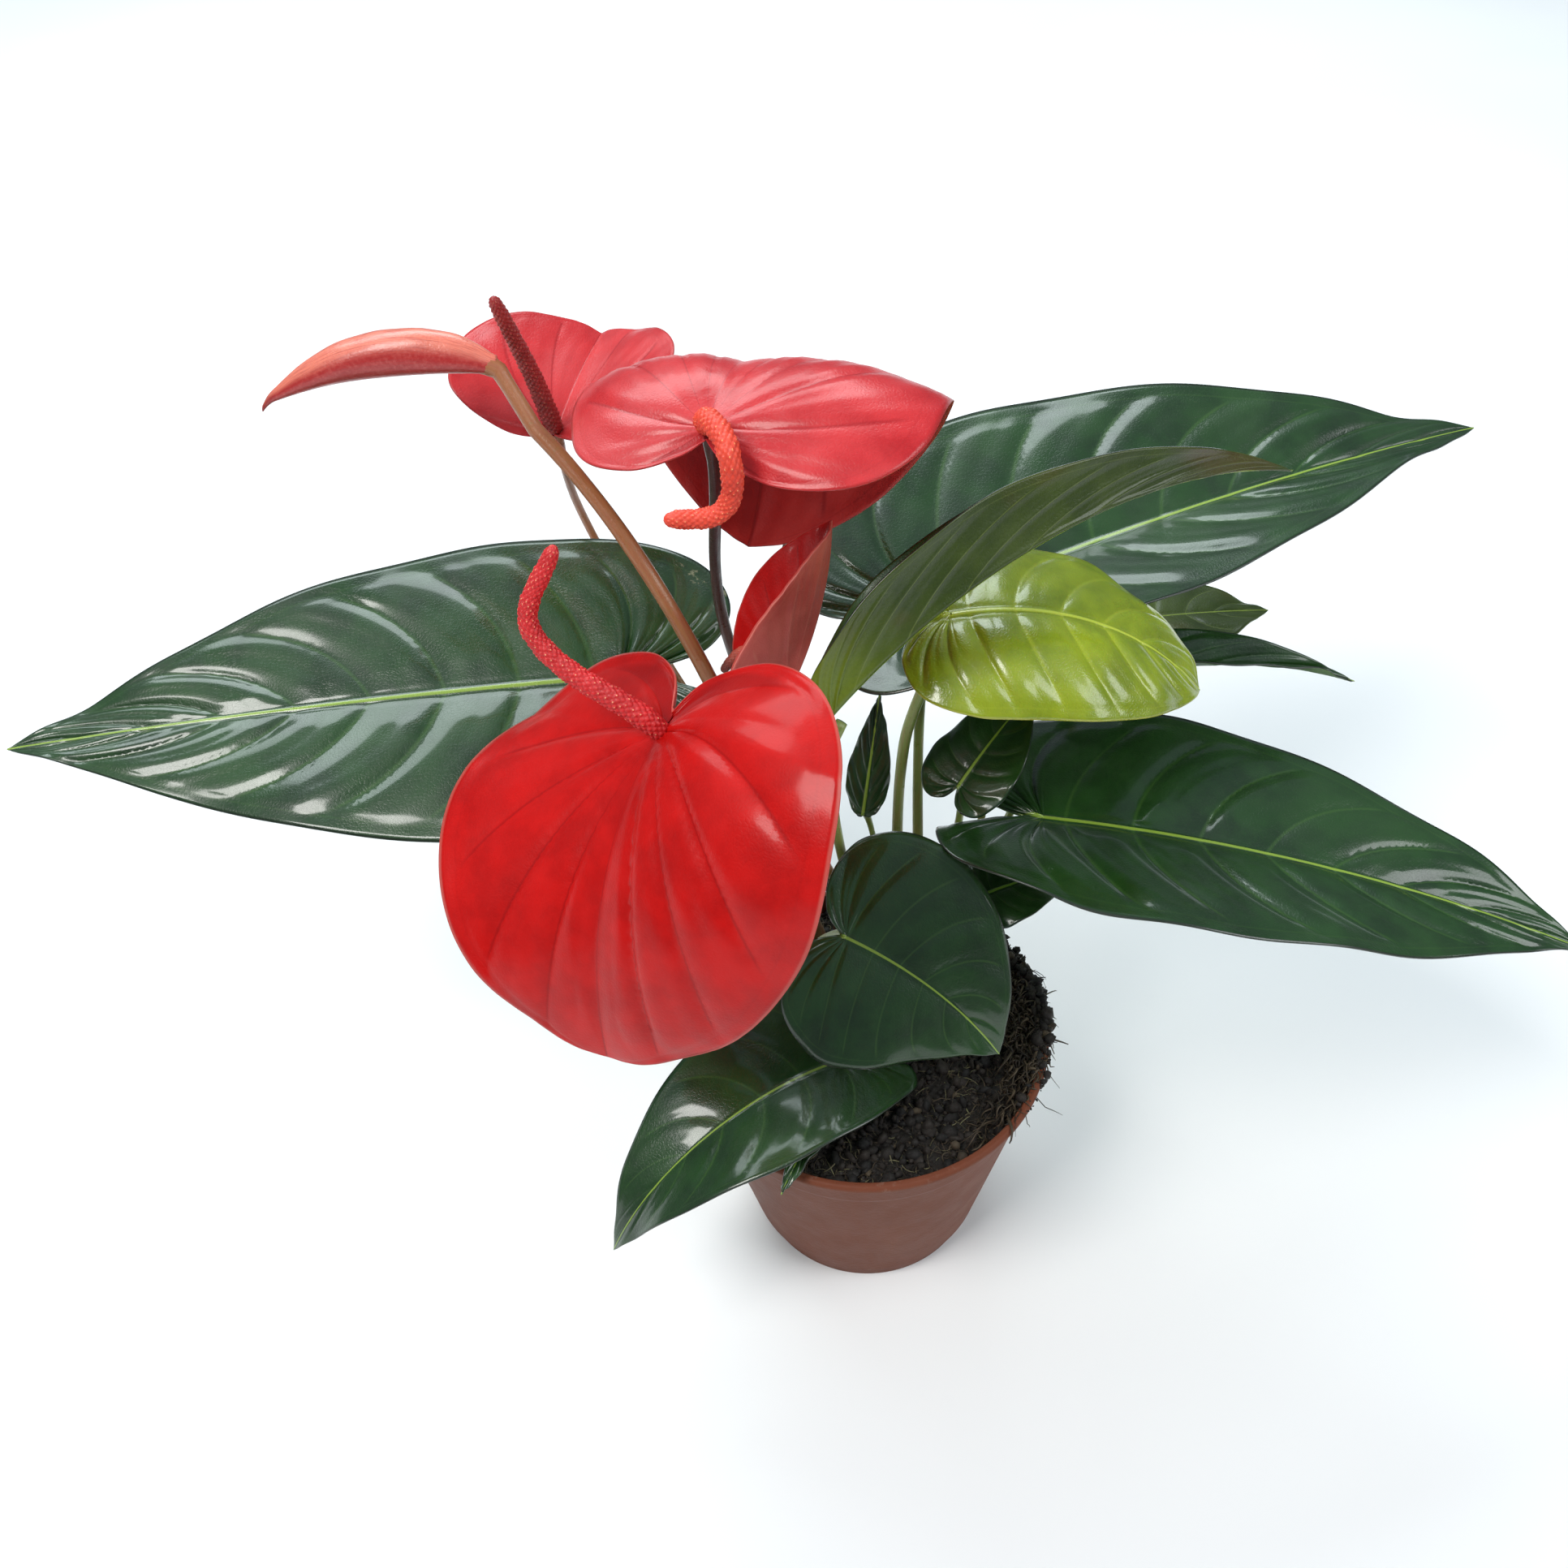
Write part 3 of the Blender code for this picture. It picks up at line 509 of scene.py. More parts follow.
def midrib_frame(blade, along):
    """Places, left and upper directions of the midrib at lengths along it, in millimetres."""
    along = np.asarray(along, float)
    share = along / blade.length
    place = np.broadcast_to(np.array(blade.attach, float), along.shape + (3,)).copy()
    for i in range(MIDRIB_STEPS):
        step = np.maximum(0, share * (i + 0.5) / MIDRIB_STEPS)
        ahead = directions(blade.heading + blade.sweep * step, blade.pitch - blade.droop * step)
        place += ahead * (along / MIDRIB_STEPS)[..., None]
    bend = np.maximum(0, share)
    azimuth = blade.heading + blade.sweep * bend
    ahead = directions(azimuth, blade.pitch - blade.droop * bend)
    side = directions(azimuth + 90, 0 * azimuth)
    upper = np.cross(ahead, side)
    turn = np.radians(blade.roll + blade.twist * bend)[..., None]
    left = side * np.cos(turn) + upper * np.sin(turn)
    return place, left, np.cross(ahead, left)


def sheet(blade, along, across):
    """Points of the smooth blade in millimetres; across is a share of its half width, left positive."""
    place, left, upper = midrib_frame(blade, along)
    half = blade.width / 2 * (1 + blade.uneven * np.copysign(1, across))
    fold = np.radians(np.where(across >= 0, *blade.fold))
    curl = np.radians(np.where(across >= 0, *blade.curl))
    curl = np.where(np.abs(curl) < 0.001, 0.001, curl)
    edge = fold - curl * np.abs(across)
    out = half / curl * (np.sin(fold) - np.sin(edge))
    lift = half / curl * (np.cos(edge) - np.cos(fold))
    return place + left * np.copysign(out, across)[..., None] + upper * lift[..., None]


def spline(points, share):
    """Points on the Catmull-Rom curve through the points, for shares from 0 to 1."""
    points = np.array(points, float)
    place = np.asarray(share) * (len(points) - 1)
    index = np.minimum(place.astype(int), len(points) - 2)
    part = (place - index)[..., None]
    before, start = points[np.maximum(index - 1, 0)], points[index]
    end, after = points[index + 1], points[np.minimum(index + 2, len(points) - 1)]
    return 0.5 * (2 * start + (end - before) * part
                  + (2 * before - 5 * start + 4 * end - after) * part ** 2
                  + (3 * start - before - 3 * end + after) * part ** 3)


def vein_coordinate(blade, rib, share, along, across):
    """It runs up by one from each lateral vein to the next."""
    look = blade.look
    if isinstance(look.veins, tuple):
        reach = np.hypot(along, across)
        angle = np.degrees(np.arctan2(np.abs(across), along + 0.001))
        angle = angle / (1 - 0.42 * np.clip(reach / blade.length, 0, 1.2))
        return np.interp(angle, look.veins, np.arange(len(look.veins)))
    return look.veins * np.clip(rib - VEIN_BOW * share ** 2, 0, 1)


def relief(blade, rib, share, along, across, side):
    """Height of the veins, quilting, midrib and margin above the smooth blade, in millimetres."""
    look = blade.look
    vein = vein_coordinate(blade, rib, share, along, across)
    phase = (len(blade.name) * 1.7 + side * 0.9) % math.tau
    between = np.abs(np.sin(math.pi * (vein % 1.0) ** 0.8)) ** VEIN_SHARPNESS
    reach = rise(share, 0, 0.22) * (1 - rise(share, 0.72, 0.24) ** 2)
    tip = rise(1 - rib, 0, 0.18)
    uneven = 0.75 + 0.35 * np.sin(2.3 * vein + phase) * np.cos(3.1 * share + phase)
    height = look.quilt * (between - 0.55) * reach * tip * uneven
    half_way = np.abs(np.sin(2 * math.pi * vein + 0.6 * np.sin(5 * share)))
    height += 0.14 * look.quilt * half_way * reach * tip
    height -= 0.12 * look.quilt * hump(share, MARGIN_VEIN, 0.02) * tip
    swell = math.tau * look.waves * rib
    ripple = np.sin(swell + phase) + 0.5 * np.sin(2.3 * swell)
    height += look.wave * share ** 3 * ripple * tip
    if look.wrinkle:
        fine = np.sin(5.5 * math.pi * vein + 3 * np.sin(0.09 * along + phase))
        patchy = 0.4 + 0.6 * np.sin(0.07 * along) ** 2
        height += look.wrinkle * fine * rise(share, 0, 0.3) * patchy
    width = look.rib * (1 - 0.8 * np.clip(along / blade.length, 0, 1))
    height += 0.8 * width * hump(across, 0, 0.8 * width + 0.05)
    height -= 0.4 * width * hump(np.abs(across), 2.2 * width, 0.9 * width + 0.05)
    return height, vein, width


def add_mesh(name, points, faces, material, attributes=None):
    mesh = bpy.data.meshes.new(name)
    mesh.from_pydata([tuple(p) for p in points], [], faces)
    for key, values in (attributes or {}).items():
        made = mesh.attributes.new(key, "FLOAT", "POINT")
        made.data.foreach_set("value", np.asarray(values, np.float32))
    mesh.materials.append(material)
    mesh.update()
    mesh.shade_smooth()
    obj = bpy.data.objects.new(name, mesh)
    bpy.context.scene.collection.objects.link(obj)
    return obj


def on_pot(points):
    """Places in the frame for points in millimetres from the centre of the rim."""
    return points.reshape(-1, 3) * MM + (0, 0, RIM_HEIGHT)


def ring_faces(rings, sides, closed=False, inward=False):
    """Quads between rings of points.  Unless the rings close up, a face covers each end."""
    faces = []
    for i in range(rings if closed else rings - 1):
        for j in range(sides):
            a, b = i * sides + j, i * sides + (j + 1) % sides
            c, d = (b + sides) % (rings * sides), (a + sides) % (rings * sides)
            faces.append((a, d, c, b) if inward else (a, b, c, d))
    if closed:
        return faces
    ends = [tuple(range(sides))[::-1], tuple(range((rings - 1) * sides, rings * sides))]
    return faces + [end[::-1] if inward else end for end in ends]


def declare(obj, node):
    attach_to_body(obj, "root")
    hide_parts(node)
    return obj


def blade_half(blade, side, rib, share, root, edge):
    """Points of one half of a blade, and the fields that its material reads."""
    along = (root[:, None] + (edge[:, :1] - root[:, None]) * share) * blade.length
    across = side * edge[:, 1:] * share
    grid_rib = np.broadcast_to(rib[:, None], along.shape)
    grid_share = np.broadcast_to(share, along.shape)
    step = 0.05
    ahead = sheet(blade, along + step, across) - sheet(blade, along - step, across)
    inner = np.where(np.abs(across) < 0.01, side * 0.01, across)
    left = sheet(blade, along, inner * 1.02) - sheet(blade, along, inner * 0.98)
    normal = np.cross(ahead, left * side)
    normal /= np.linalg.norm(normal, axis=-1, keepdims=True) + 1e-12
    blend = rise(np.abs(across), 0, 0.04)[..., None]
    normal = normal * blend + midrib_frame(blade, along)[2] * (1 - blend)
    width = across * blade.width / 2
    height, vein, rib_size = relief(blade, grid_rib, grid_share, along, width, side)
    points = sheet(blade, along, across) + normal * height[..., None]
    return points, dict(vein=vein, rim=grid_share, along=along, across=width, rib=rib_size + 0.02)


def make_blade(blade, materials):
    ribs, cells = blade.look.ribs, blade.look.cells
    rib = np.linspace(0, 1, ribs + 1)
    root = np.maximum(0, (rib - LOBE_SHARE) / (1 - LOBE_SHARE))
    root[0] = blade.outline[0][0]
    share = np.linspace(0, 1, cells + 1) ** 1.15
    edge = spline(blade.outline, rib)
    (points, fields), (right, right_fields) = (
        blade_half(blade, side, rib, share, root, edge) for side in (1, -1))
    # The left half keeps the midrib's points, and the right half starts one cell out.
    points = np.concatenate([points, right[:, 1:]], 1)
    fields = {key: np.concatenate([values, right_fields[key][:, 1:]], 1)
              for key, values in fields.items()}
    fields["rim"][0, :] = 1
    row = points.shape[1]
    faces = []
    for columns in (list(range(cells + 1))[::-1], [0, *range(cells + 1, row)]):
        for i in range(0, ribs * row, row):
            faces += [(i + a, i + b, i + row + b, i + row + a) for a, b in zip(columns, columns[1:])]
    obj = add_mesh(blade.name + "_skin", on_pot(points), faces, materials[blade.look.top],
                   {key: values.ravel() for key, values in fields.items()})
    obj.data.materials.append(materials[blade.look.under])
    weld = obj.modifiers.new("weld", "WELD")
    weld.merge_threshold = 0.00002
    solid = obj.modifiers.new("thickness", "SOLIDIFY")
    solid.thickness = BLADE_THICKNESS
    solid.offset = 0
    solid.material_offset = 1
    return declare(obj, blade.name)


def make_bud(blade, materials):
    """A spathe still rolled up: a cigar with its margin lapped over once and a hooked tip."""
    rings, sides = 120, 72
    widest = 6.1
    share = np.linspace(0, 1, rings)
    along = share * (blade.length + 3) - 3
    place, left, upper = midrib_frame(blade, along)
    size = widest * np.interp(share, [0, 0.05, 0.15, 0.3, 0.45, 0.62, 0.78, 0.9, 0.96, 1],
                              [0.36, 0.55, 0.83, 0.99, 1, 0.86, 0.57, 0.29, 0.17, 0.06])
    size = np.convolve(np.pad(size, 4, "edge"), np.ones(9) / 9, "valid")
    size[-1] = 0.3
    turn = np.linspace(0, 1, sides)
    start = math.radians(200)
    angle = start + turn * math.tau
    lap = rise(size, 0, widest)[:, None] * rise(turn, 0.82, 0.18)[None] ** 0.7
    pinch = 1 - 0.05 * np.cos(2 * (angle[None] - start)) - 0.03 * np.sin(9 * share[:, None] + 3 * angle)
    radius = size[:, None] * pinch + 0.55 * lap
    hook = 1.5 * rise(share, 0.93, 0.07) ** 2
    centre = place + upper * (0.95 * size - hook)[:, None]
    skin = (centre[:, None] + left[:, None] * (radius * np.cos(angle))[..., None]
            + upper[:, None] * (radius * np.sin(angle))[..., None])
    # around is 1 on the bud's upper side, where its material paints a coral highlight.
    fields = {key: np.broadcast_to(values, radius.shape).ravel()
              for key, values in (("along", along[:, None]), ("around", 0.5 + 0.5 * np.sin(angle)))}
    obj = add_mesh(blade.name + "_skin", on_pot(skin), ring_faces(rings, sides),
                   materials[blade.look.top], fields)
    return declare(obj, blade.name)


# ---------------------------------------------------------------- stems and spikes

def curve_through(knots, leave, arrive, steps):
    """Points of a smooth curve through the knots, leaving and arriving in the given directions."""
    knots = [np.array(k, float) for k in knots]
    inner = [(after - before) / np.linalg.norm(after - before)
             for before, after in zip(knots, knots[2:])]
    tangents = [np.array(leave, float), *inner, np.array(arrive, float)]
    t = np.arange(1, steps + 1)[:, None] / steps
    points = [knots[:1]]
    for i in range(len(knots) - 1):
        span = np.linalg.norm(knots[i + 1] - knots[i])
        points.append((2 * t ** 3 - 3 * t ** 2 + 1) * knots[i]
                      + (t ** 3 - 2 * t ** 2 + t) * tangents[i] * span
                      + (3 * t ** 2 - 2 * t ** 3) * knots[i + 1]
                      + (t ** 3 - t ** 2) * tangents[i + 1] * span)
    return np.concatenate(points)


def resample(points, count):
    lengths = np.r_[0, np.cumsum(np.linalg.norm(np.diff(points, axis=0), axis=1))]
    wanted = np.linspace(0, lengths[-1], count)
    return np.stack([np.interp(wanted, lengths, points[:, k]) for k in range(3)], 1), lengths[-1]


def sweep_frames(points):
    """Ahead, side and up directions along a line of points, without twist."""
    ahead = np.gradient(points, axis=0)
    ahead /= np.linalg.norm(ahead, axis=1, keepdims=True)
    side = np.zeros_like(points)
    first = np.cross(ahead[0], (0.31, 0.95, 0.05))
    side[0] = first / np.linalg.norm(first)
    for i in range(1, len(points)):
        turned = side[i - 1] - ahead[i] * np.dot(side[i - 1], ahead[i])
        side[i] = turned / np.linalg.norm(turned)
    return ahead, side, np.cross(ahead, side)


def tube_skin(points, radii):
    """Rings of points round a line; radii has a row for each point and a column for each side."""
    _, side, up = sweep_frames(points)
    angle = circle(radii.shape[1])[None, :, None]
    ring = side[:, None] * np.cos(angle) + up[:, None] * np.sin(angle)
    return points[:, None] + ring * radii[..., None]


def make_tube(name, points, radii, material, fields):
    """A closed bar round the points."""
    fields = {key: np.broadcast_to(value, radii.shape).ravel() for key, value in fields.items()}
    return add_mesh(name, on_pot(tube_skin(points, radii)), ring_faces(*radii.shape), material, fields)


def make_stem(stem, blades, materials):
    x, y, radius, _ = CROWNS[stem.crown]
    outward = directions(stem.azimuth, 0)
    start = np.array((x, y, stem.height)) + outward * (radius + stem.radius + CLEARANCE)
    leaving = directions(stem.azimuth, 90 - stem.lean)
    blade = blades[stem.blade]
    place, left, upper = midrib_frame(blade, 0.0)
    ahead = np.cross(left, upper)
    turn = math.radians(stem.arrive)
    arriving = upper * math.cos(turn) + ahead * math.sin(turn)
    end = place - upper * (CAD_THICKNESS / 2 + CLEARANCE + stem.radius * math.sin(turn))
    knots = [start] + ([stem.via] if stem.via else []) + [end]
    points = curve_through(knots, leaving, arriving, 30)
    foot = points[0] - leaving * 7
    tail = [end + arriving * 0.9]
    if blade.look is BUD:
        points = points[:-6]
        tail = [place - ahead * 3.5 + upper * 1.2, place - ahead * 0.5 + upper * 2.2,
                place + ahead * 5 + upper * 3]
    points = np.concatenate([[foot], points, tail])
    points, length = resample(points, max(24, int(np.linalg.norm(end - start) / 1.6)))
    share = np.linspace(0, 1, len(points))
    from_top = (1 - share) * length
    angle = circle(16)
    size = 1 + 0.28 * hump(from_top, 5, 5) + 0.9 * np.exp(-share * length / 9)
    size *= 1 - 0.08 * share
    if stem.finish == "petiole":
        groove = 0.16 * hump(angle, math.pi / 2, 0.5)
    else:
        groove = 0.02 * np.cos(5 * angle)
    wobble = 1 + 0.02 * np.sin(share[:, None] * length / 7 + angle * 2)
    radii = stem.radius * size[:, None] * (1 - groove) * wobble
    fields = dict(along=share[:, None], around=np.cos(angle) * 0.5)
    obj = make_tube(stem.name + "_skin", points, radii, materials[stem.finish], fields)
    return declare(obj, stem.name)


def make_spadix(spadix, blades, materials):
    """The spike carries rows of small flowers in two crossing spirals."""
    blade = blades[spadix.blade]
    place, _, upper = midrib_frame(blade, 0.0)
    knots = [place] + [np.array(p, float) for p in spadix.route]
    fold = math.radians(max(0, *blade.fold))
    knots[0] = place + upper * (CAD_THICKNESS + CLEARANCE + spadix.radius * math.tan(fold))
    ending = (knots[-1] - knots[-2]) / np.linalg.norm(knots[-1] - knots[-2])
    points = curve_through(knots, upper, ending, 40)
    points = np.concatenate([[points[0] - upper * 1.4], points])
    points, length = resample(points, int(60 + np.linalg.norm(points[-1] - points[0]) * 5))
    share = np.linspace(0, 1, len(points))
    angle = circle(64)
    around = 10
    pitch = math.tau * spadix.radius / around
    row = share * length / pitch * math.pi
    first = around / 2 * angle[None] + row[:, None]
    second = around / 2 * angle[None] - row[:, None]
    dots = (np.abs(np.cos(first)) * np.abs(np.cos(second))) ** 0.8
    tone = np.modf(np.abs(np.sin(np.rint(first / math.pi) * 12.9898
                                 + np.rint(second / math.pi) % around * 78.233)) * 43758.5453)[0]
    body = spadix.radius + (spadix.tip_radius - spadix.radius) * share
    body *= np.sqrt(1 - share ** 30) * (0.8 + 0.2 * rise(share, 0, 0.06))
    lumps = 0.03 * np.sin(share * length * 0.9 + 1.1) + 0.02 * np.sin(share * length * 2.3)
    radii = body[:, None] * (0.9 + 0.13 * dots + 0.05 * tone * dots + lumps[:, None])
    radii = np.maximum(radii, 0.05)
    fields = dict(along=share[:, None], tone=tone, dot=dots)
    finish = "spadix_young" if spadix.name == "spadix_young" else spadix.finish
    obj = make_tube(spadix.name + "_skin", points, radii, materials[finish], fields)
    return declare(obj, spadix.name)


# ---------------------------------------------------------------- pot, soil and crowns

def lathe(name, profile, segments, material):
    profile = np.array(profile, float)
    angle = circle(segments)
    points = np.stack([profile[:, :1] * np.cos(angle), profile[:, :1] * np.sin(angle),
                       profile[:, 1:] + 0 * angle], -1)
    faces = ring_faces(len(profile), segments, closed=True)
    return add_mesh(name, points.reshape(-1, 3), faces, material)


def rounded(points, radius, steps=5):
    """A closed profile with its corners rounded."""
    points = [np.array(p, float) for p in points]
    made = []
    for i, corner in enumerate(points):
        before, after = points[i - 1], points[(i + 1) % len(points)]
        back, on = before - corner, after - corner
        reach = min(radius, 0.45 * np.linalg.norm(back), 0.45 * np.linalg.norm(on))
        start = corner + back / np.linalg.norm(back) * reach
        end = corner + on / np.linalg.norm(on) * reach
        for j in range(steps + 1):
            t = j / steps
            made.append((1 - t) ** 2 * start + 2 * t * (1 - t) * corner + t ** 2 * end)
    return made


def pot_material():
    s = Shader("pot_plastic")
    colour = s.mix(s.patches(35.0, 5.0, 0.3, 0.7), (0.150, 0.044, 0.022), (0.165, 0.050, 0.026))
    streak = s.patches(9.0, 4.0, 0.45, 0.8, 0.0, 0.35, vector=s.place((9, 9, 0.5)))
    colour = s.mix(streak, colour, (0.20, 0.070, 0.038))
    height = s.node("ShaderNodeSeparateXYZ", {0: s.place()}, "Z")
    near_rim = s.ramp(height, RIM_HEIGHT - 0.005, RIM_HEIGHT, 0.0, 0.45)
    worn = s.plus(s.plus(near_rim, s.ramp(height, 0.0, 0.016, 0.4, 0.0)), 0.05)
    dust = s.math("MULTIPLY", s.patches(160.0, 5.0, 0.58, 0.75, rough=0.7), worn, clamp=True)
    colour = s.mix(dust, colour, (0.33, 0.24, 0.19))
    specks = s.times(s.patches(1300.0, 2.0, 0.66, 0.72, 0.0, 0.8, rough=0.6),
                     s.ramp(height, 0.01, 0.05, 1.0, 0.25))
    colour = s.mix(s.times(specks, s.patches(45.0, 2.0, 0.42, 0.6)), colour, (0.012, 0.009, 0.007))
    grain = s.plus(s.noise(700.0, 3.0), s.noise(60.0, 2.0))
    return s.set(base=colour, rough=s.patches(90.0, 4.0, 0.3, 0.7, 0.5, 0.58), specular=0.15,
                 normal=s.bump(grain, 0.25, 0.0006), sss=0.05, sss_radius=(1, 0.3, 0.2),
                 sss_scale=0.002)


def make_pot():
    """A thin thermoformed pot: rolled lip, two shallow steps under it, a foot ring and six holes."""
    base, wall, floor, lip = 0.040, 0.0011, 0.0034, 0.0035
    lip_low, lip_out = RIM_HEIGHT - lip, RIM_RADIUS - 0.0003
    foot_top, band_low, band_high = 0.0068, 0.080, 0.0815
    slope = (RIM_RADIUS - 0.0016 - base) / RIM_HEIGHT

    def out(height):
        return base + slope * height

    profile = [
        (0.0003, 0.0016), (0.031, 0.0016), (0.0325, 0.0), (base - 0.0012, 0.0),
        (out(foot_top) - 0.0009, foot_top), (out(0.0076), 0.0080), (out(band_low), band_low),
        (out(band_high) + 0.0004, band_high), (out(lip_low) + 0.0003, lip_low),
        (lip_out, lip_low + 0.0004), (RIM_RADIUS, RIM_HEIGHT - 0.0012),
        (lip_out - 0.0006, RIM_HEIGHT), (out(RIM_HEIGHT) - wall, RIM_HEIGHT - 0.0001),
        (out(band_low) - wall, band_low), (out(0.008) - wall, 0.0085), (base - 0.004, floor),
        (0.0003, floor),
    ]
    pot = lathe("pot_shell", rounded(profile, 0.0006), 160, pot_material())
    holes, ring = 6, 0.028
    cutters = []
    for i in range(holes):
        angle = math.tau * (i + 0.5) / holes
        bpy.ops.mesh.primitive_cylinder_add(vertices=32, radius=0.004, depth=0.0075)
        cutter = bpy.context.object
        cutter.location = (ring * math.cos(angle), ring * math.sin(angle), floor)
        cutter.name = f"hole_cutter_{i}"
        cutter.hide_render = True
        cutters.append(cutter)
    for cutter in cutters:
        cut = pot.modifiers.new(cutter.name, "BOOLEAN")
        cut.operation = "DIFFERENCE"
        cut.object = cutter
    graph = bpy.context.evaluated_depsgraph_get()
    made = bpy.data.meshes.new_from_object(pot.evaluated_get(graph))
    pot.modifiers.clear()
    pot.data = made
    for cutter in cutters:
        bpy.data.objects.remove(cutter, do_unlink=True)
    return declare(pot, "pot")


def soil_material():
    s = Shader("potting_soil")
    coarse = s.patches(260.0, 5.0, 0.35, 0.7, rough=0.7)
    colour = s.mix(coarse, (0.0035, 0.0028, 0.0022), (0.013, 0.009, 0.006))
    colour = s.mix(s.ramp(s.voronoi(900.0), 0.0, 0.4, 0.0, 0.4), colour, (0.022, 0.016, 0.010))
    colour = s.mix(s.patches(1100.0, 3.0, 0.68, 0.75, 0.0, 0.7, rough=0.7), colour, (0.10, 0.085, 0.05))
    height = s.plus(s.noise(900.0, 5.0, 0.75), s.noise(260.0, 3.0))
    return s.set(base=colour, rough=s.ramp(coarse, 0.0, 1.0, 0.6, 0.95),
                 normal=s.bump(height, 0.9, 0.001))


def crumb_material():
    s = Shader("peat_crumbs")
    tone = s.attribute("tone")
    colour = s.mix(s.ramp(tone, 0.0, 0.7), (0.004, 0.003, 0.0024), (0.018, 0.012, 0.008))
    colour = s.mix(s.ramp(tone, 0.9, 1.0), colour, (0.07, 0.05, 0.028))
    return s.set(base=colour, rough=s.patches(700.0, 3.0, 0.3, 0.7, 0.55, 0.9),
                 normal=s.bump(s.noise(2600.0, 4.0, 0.7), 0.7, 0.0004))


def fibre_material():
    s = Shader("coir_fibres")
    tone = s.attribute("tone")
    colour = s.mix(s.ramp(tone, 0.0, 0.6), (0.016, 0.011, 0.006), (0.075, 0.052, 0.028))
    colour = s.mix(s.ramp(tone, 0.65, 1.0), colour, (0.19, 0.18, 0.09))
    return s.set(base=colour, rough=s.patches(600.0, 3.0, 0.3, 0.7, 0.5, 0.8))


def soil_height(x, y):
    """The CAD root ball's top, with lumps and a heap along the right of the rim."""
    share = np.minimum(1, np.hypot(x, y) / RIM_RADIUS)
    ripple = np.sin(x / 0.0065 + 1.3) * np.cos(y / 0.0052 - 0.4) + np.sin((x + y) / 0.0043)
    height = RIM_HEIGHT - 0.008 + 0.005 * (1 - share ** 2) + 0.0004 * ripple
    lumps = (np.sin(x * 900 + 2 * np.sin(y * 700)) * np.cos(y * 1100 + 1.5 * np.sin(x * 500))
             + 0.6 * np.sin(x * 2100 + y * 1700 + 2 * np.sin(y * 900)))
    turn = np.arctan2(y, x)
    heap = np.clip((turn + 0.9) * 1.2, 0, 1) * np.clip((0.9 - turn) * 1.2, 0, 1)
    return height + 0.0007 * lumps + 0.0035 * heap * share ** 6


def make_soil():
    """The root ball follows the pot down from its uneven top, with crumbs and threads on it."""
    radius, foot_radius = RIM_RADIUS - 0.0031, 0.0378
    shoulder, foot = RIM_HEIGHT - 0.011, 0.004
    rings, segments = 90, 220
    reach = np.linspace(0, 1, rings) ** 0.8 * radius
    reach[0] = 0.0002
    angle = circle(segments)
    x, y = reach[:, None] * np.cos(angle), reach[:, None] * np.sin(angle)
    z = soil_height(x, y) + 0.0003 * RNG.standard_normal(x.shape)
    lower = []
    for share in (0.25, 0.5, 0.75, 1.0):
        height = shoulder + (foot - shoulder) * share
        size = (foot_radius - radius) * share + radius - 0.0004
        lower.append(np.stack([size * np.cos(angle), size * np.sin(angle), height + 0 * angle], -1))
    grid = np.concatenate([np.stack([x, y, z], -1), np.array(lower)])
    soil = add_mesh("root_ball", grid.reshape(-1, 3), ring_faces(len(grid), segments, inward=True),
                    soil_material())
    declare(soil, "soil")
    for obj in (make_crumbs(), make_fibres()):
        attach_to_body(obj, "root")


def scatter(count):
    """Random places all over the soil."""
    radius = np.sqrt(RNG.random(count)) * (RIM_RADIUS - 0.004)
    angle = RNG.random(count) * math.tau
    x, y = radius * np.cos(angle), radius * np.sin(angle)
    return x, y, soil_height(x, y)


def make_crumbs():
    """Peat crumbs: squashed lumps of many sizes in one mesh, the first of them heaped on the rim."""
    bpy.ops.mesh.primitive_ico_sphere_add(subdivisions=1, radius=1)
    ball = bpy.context.object
    unit = np.array([v.co for v in ball.data.vertices])
    corners = [tuple(p.vertices) for p in ball.data.polygons]
    bpy.data.objects.remove(ball, do_unlink=True)
    count, heaped = 5200, 700
    x, y, z = scatter(count)
    size = 0.0003 + 0.0019 * RNG.random(count) ** 4
    angle = np.radians(RNG.normal(10, 18, heaped))
    reach = RIM_RADIUS - 0.0045 + 0.0052 * RNG.random(heaped)
    x[:heaped], y[:heaped] = reach * np.cos(angle), reach * np.sin(angle)
    z[:heaped] = RIM_HEIGHT - 0.0022 + 0.0030 * RNG.random(heaped)
    points, faces, tone = [], [], []
    for i in range(count):
        stretch = 0.5 + RNG.random(3)
        shape = unit * stretch * size[i] * (0.8 + 0.4 * RNG.random((len(unit), 1)))
        spin = np.array(Matrix.Rotation(RNG.random() * math.tau, 3, RNG.standard_normal(3)))
        base = i * len(unit)
        points.append(shape @ spin.T + (x[i], y[i], z[i] + size[i] * 0.5))
        faces += [tuple(base + c for c in f) for f in corners]
        tone.append(np.full(len(unit), RNG.random()))
    return add_mesh("peat_crumbs", np.concatenate(points), faces, crumb_material(),
                    {"tone": np.concatenate(tone)})


